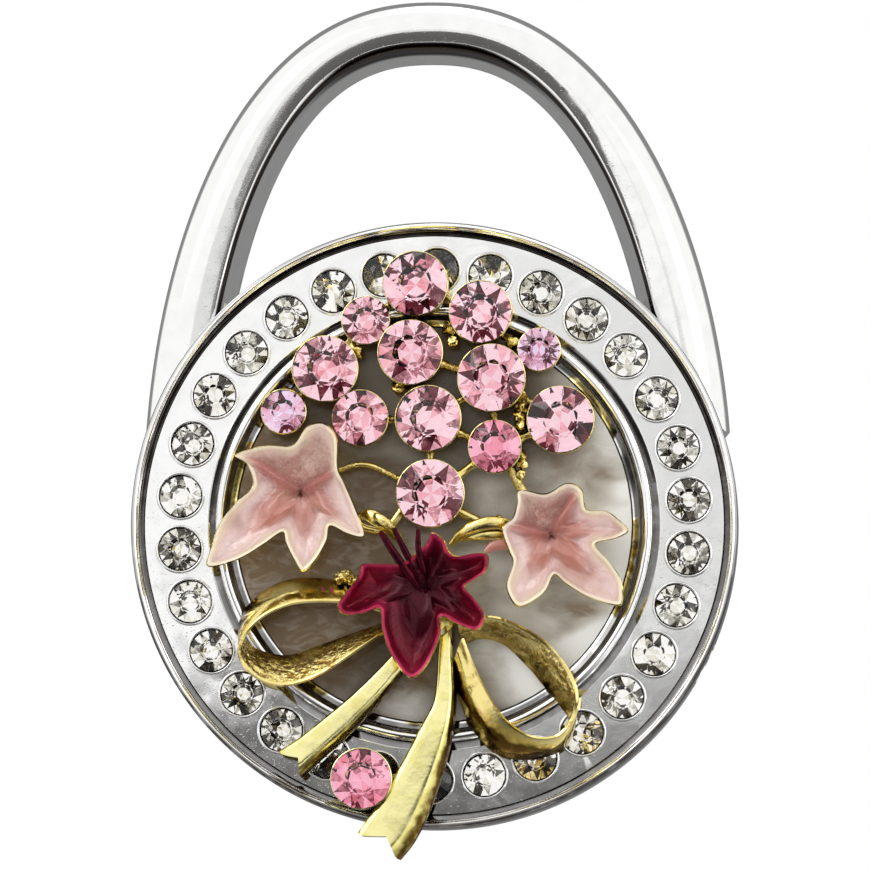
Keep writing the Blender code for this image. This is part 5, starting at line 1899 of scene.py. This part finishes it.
class PURSEHOOK_OT_bow(bpy.types.Operator):
    """Build the gold ribbon bow: loops on edge, notched tails, knot and the rim's cup"""

    bl_idname = "pursehook.bow"
    bl_label = "Ribbon bow"

    def execute(self, context):
        colours = context.scene.purse_hook_colours
        disc, _, stones = sizes()
        base = BOUQUET_LEVEL_MM * MM
        bm = bmesh.new()
        bm.verts.layers.float.new("soil")
        ribbon_loop(bm, LEFT_FAR_MM, LEFT_NEAR_MM, base, *LEFT_LOOP_SIDES)
        ribbon_loop(bm, RIGHT_FAR_MM, RIGHT_NEAR_MM, base, *RIGHT_LOOP_SIDES)
        ribbon_tail(bm, LEFT_TAIL_MM, base, LEFT_TAIL_LIFT_MM)
        ribbon_tail(bm, RIGHT_TAIL_MM, base, RIGHT_TAIL_LIFT_MM)
        stone_cup(bm, RIM_CUP_MM, stones)
        knot_shape(bm, disc, base)
        start, end = ((x * MM, y * MM, base + 0.4 * MM) for x, y in RIM_BAR_MM)
        bar(bm, start, end, STEM_RADIUS_MM * MM, 16)
        gold, tarnish = colours.gold, colours.tarnish
        # The tails' paler satin tint is partly a painted highlight
        satin = gold_finish("satin_gold", colours.satin, tarnish, 0.00003, 0.10, (0.68, 0.82))
        bright = gold_finish("ribbon_gold", gold, tarnish, 0.00004, 0.07, (0.56, 0.70))
        rough = gold_finish("rough_gold", gold, tarnish, 0.00022, 0.12, (0.30, 0.60), 2300.0)
        finishes = [satin, rough, bright]
        dress(new_object(bm, "gold_bow"), finishes, DISC_BODY, ["ribbon_bow"], sharp=40.0)

        streaks = bmesh.new()
        for x, y in STREAKS_MM:
            enamel_streak(streaks, x, y, base)
        enamel = strand_finish("spilt_enamel", colours.wine_edge, colours.wine, (0.25, 0.4), Coat_Weight=0.5)
        dress(new_object(streaks, "enamel_streaks"), [enamel], DISC_BODY)
        return {"FINISHED"}


class PURSEHOOK_OT_back(bpy.types.Operator):
    """Build the ribbed grip pad and the pin, and finish the plate, magnet and keeper"""

    bl_idname = "pursehook.back"
    bl_label = "Back and hinge parts"

    def execute(self, context):
        colours = context.scene.purse_hook_colours
        disc, shackle, _ = sizes()
        bm = bmesh.new()
        turned(bm, 0, 0, self.pad_profile(disc), 128)
        rubber = rubber_finish("pad_rubber", colours.rubber)
        dress(new_object(bm, "ribbed_pad"), [rubber], DISC_BODY, ["grip_pad"], sharp=40.0)
        refinish("back_plate", steel_finish("plate_steel", colours.steel, "RINGS"))
        steel = steel_finish("pin_steel", colours.steel, "BANDS")
        for node in ("magnet", "keeper"):
            refinish(node, steel)
        dress(pin_shape(disc, shackle), [steel], DISC_BODY, ["hinge_pin"], sharp=50.0)
        return {"FINISHED"}

    def pad_profile(self, disc):
        """The pad's section, with a rounded edge and shallow round grooves between its ribs."""
        radius, thick = disc.pad_radius, disc.pad_thickness
        profile = [(radius, thick)]
        profile += [(radius - x * MM, z * MM) for x, z in PAD_EDGE_MM]
        rib = radius - PAD_BORDER_MM * MM
        while rib > PAD_MIDDLE_MM * MM:
            profile += [(rib + x * MM, z * MM) for x, z in PAD_GROOVE_MM]
            rib -= PAD_PITCH_MM * MM
        return profile


# The operators in the order that main() calls them, with their icons in the panel
STEPS = (
    ("pursehook.stage", "WORLD"),
    ("pursehook.disc", "MESH_CIRCLE"),
    ("pursehook.shackle", "LOCKED"),
    ("pursehook.inlay", "MATERIAL"),
    ("pursehook.clear_stones", "LIGHTPROBE_SPHERE"),
    ("pursehook.pink_stones", "LIGHTPROBE_SPHERE"),
    ("pursehook.bouquet", "OUTLINER_OB_CURVES"),
    ("pursehook.lilies", "FORCE_TURBULENCE"),
    ("pursehook.bow", "CURVE_PATH"),
    ("pursehook.back", "MOD_THICKNESS"),
)


class PURSEHOOK_PT_panel(bpy.types.Panel):
    """Lists the hanger's pieces and the values that a user would change"""

    bl_idname = "PURSEHOOK_PT_panel"
    bl_label = "Purse Hook"
    bl_space_type = "VIEW_3D"
    bl_region_type = "UI"
    bl_category = "Purse Hook"

    def draw(self, context):
        for operator, icon in STEPS:
            self.layout.operator(operator, icon=icon)
        for group in GROUPS:
            values = getattr(context.scene, group)
            box = self.layout.box()
            box.label(text=values.bl_rna.name)
            for prop in values.bl_rna.properties:
                if prop.identifier not in ("rna_type", "name"):
                    box.prop(values, prop.identifier)


GROUPS = {
    "purse_hook_disc": PurseHookDiscSizes,
    "purse_hook_shackle": PurseHookShackleSizes,
    "purse_hook_stones": PurseHookStoneSizes,
    "purse_hook_colours": PurseHookColours,
    "purse_hook_studio": PurseHookStudio,
}
CLASSES = (
    *GROUPS.values(),
    PURSEHOOK_OT_stage,
    PURSEHOOK_OT_disc,
    PURSEHOOK_OT_shackle,
    PURSEHOOK_OT_inlay,
    PURSEHOOK_OT_clear_stones,
    PURSEHOOK_OT_pink_stones,
    PURSEHOOK_OT_bouquet,
    PURSEHOOK_OT_lilies,
    PURSEHOOK_OT_bow,
    PURSEHOOK_OT_back,
    PURSEHOOK_PT_panel,
)


def register():
    for cls in CLASSES:
        bpy.utils.register_class(cls)
    for name, group in GROUPS.items():
        setattr(bpy.types.Scene, name, bpy.props.PointerProperty(type=group))


def unregister():
    for name in GROUPS:
        delattr(bpy.types.Scene, name)
    for cls in reversed(CLASSES):
        bpy.utils.unregister_class(cls)


def main():
    register()
    for operator, _ in STEPS:
        group, name = operator.split(".")
        getattr(getattr(bpy.ops, group), name)()


if __name__ == "__main__":
    main()
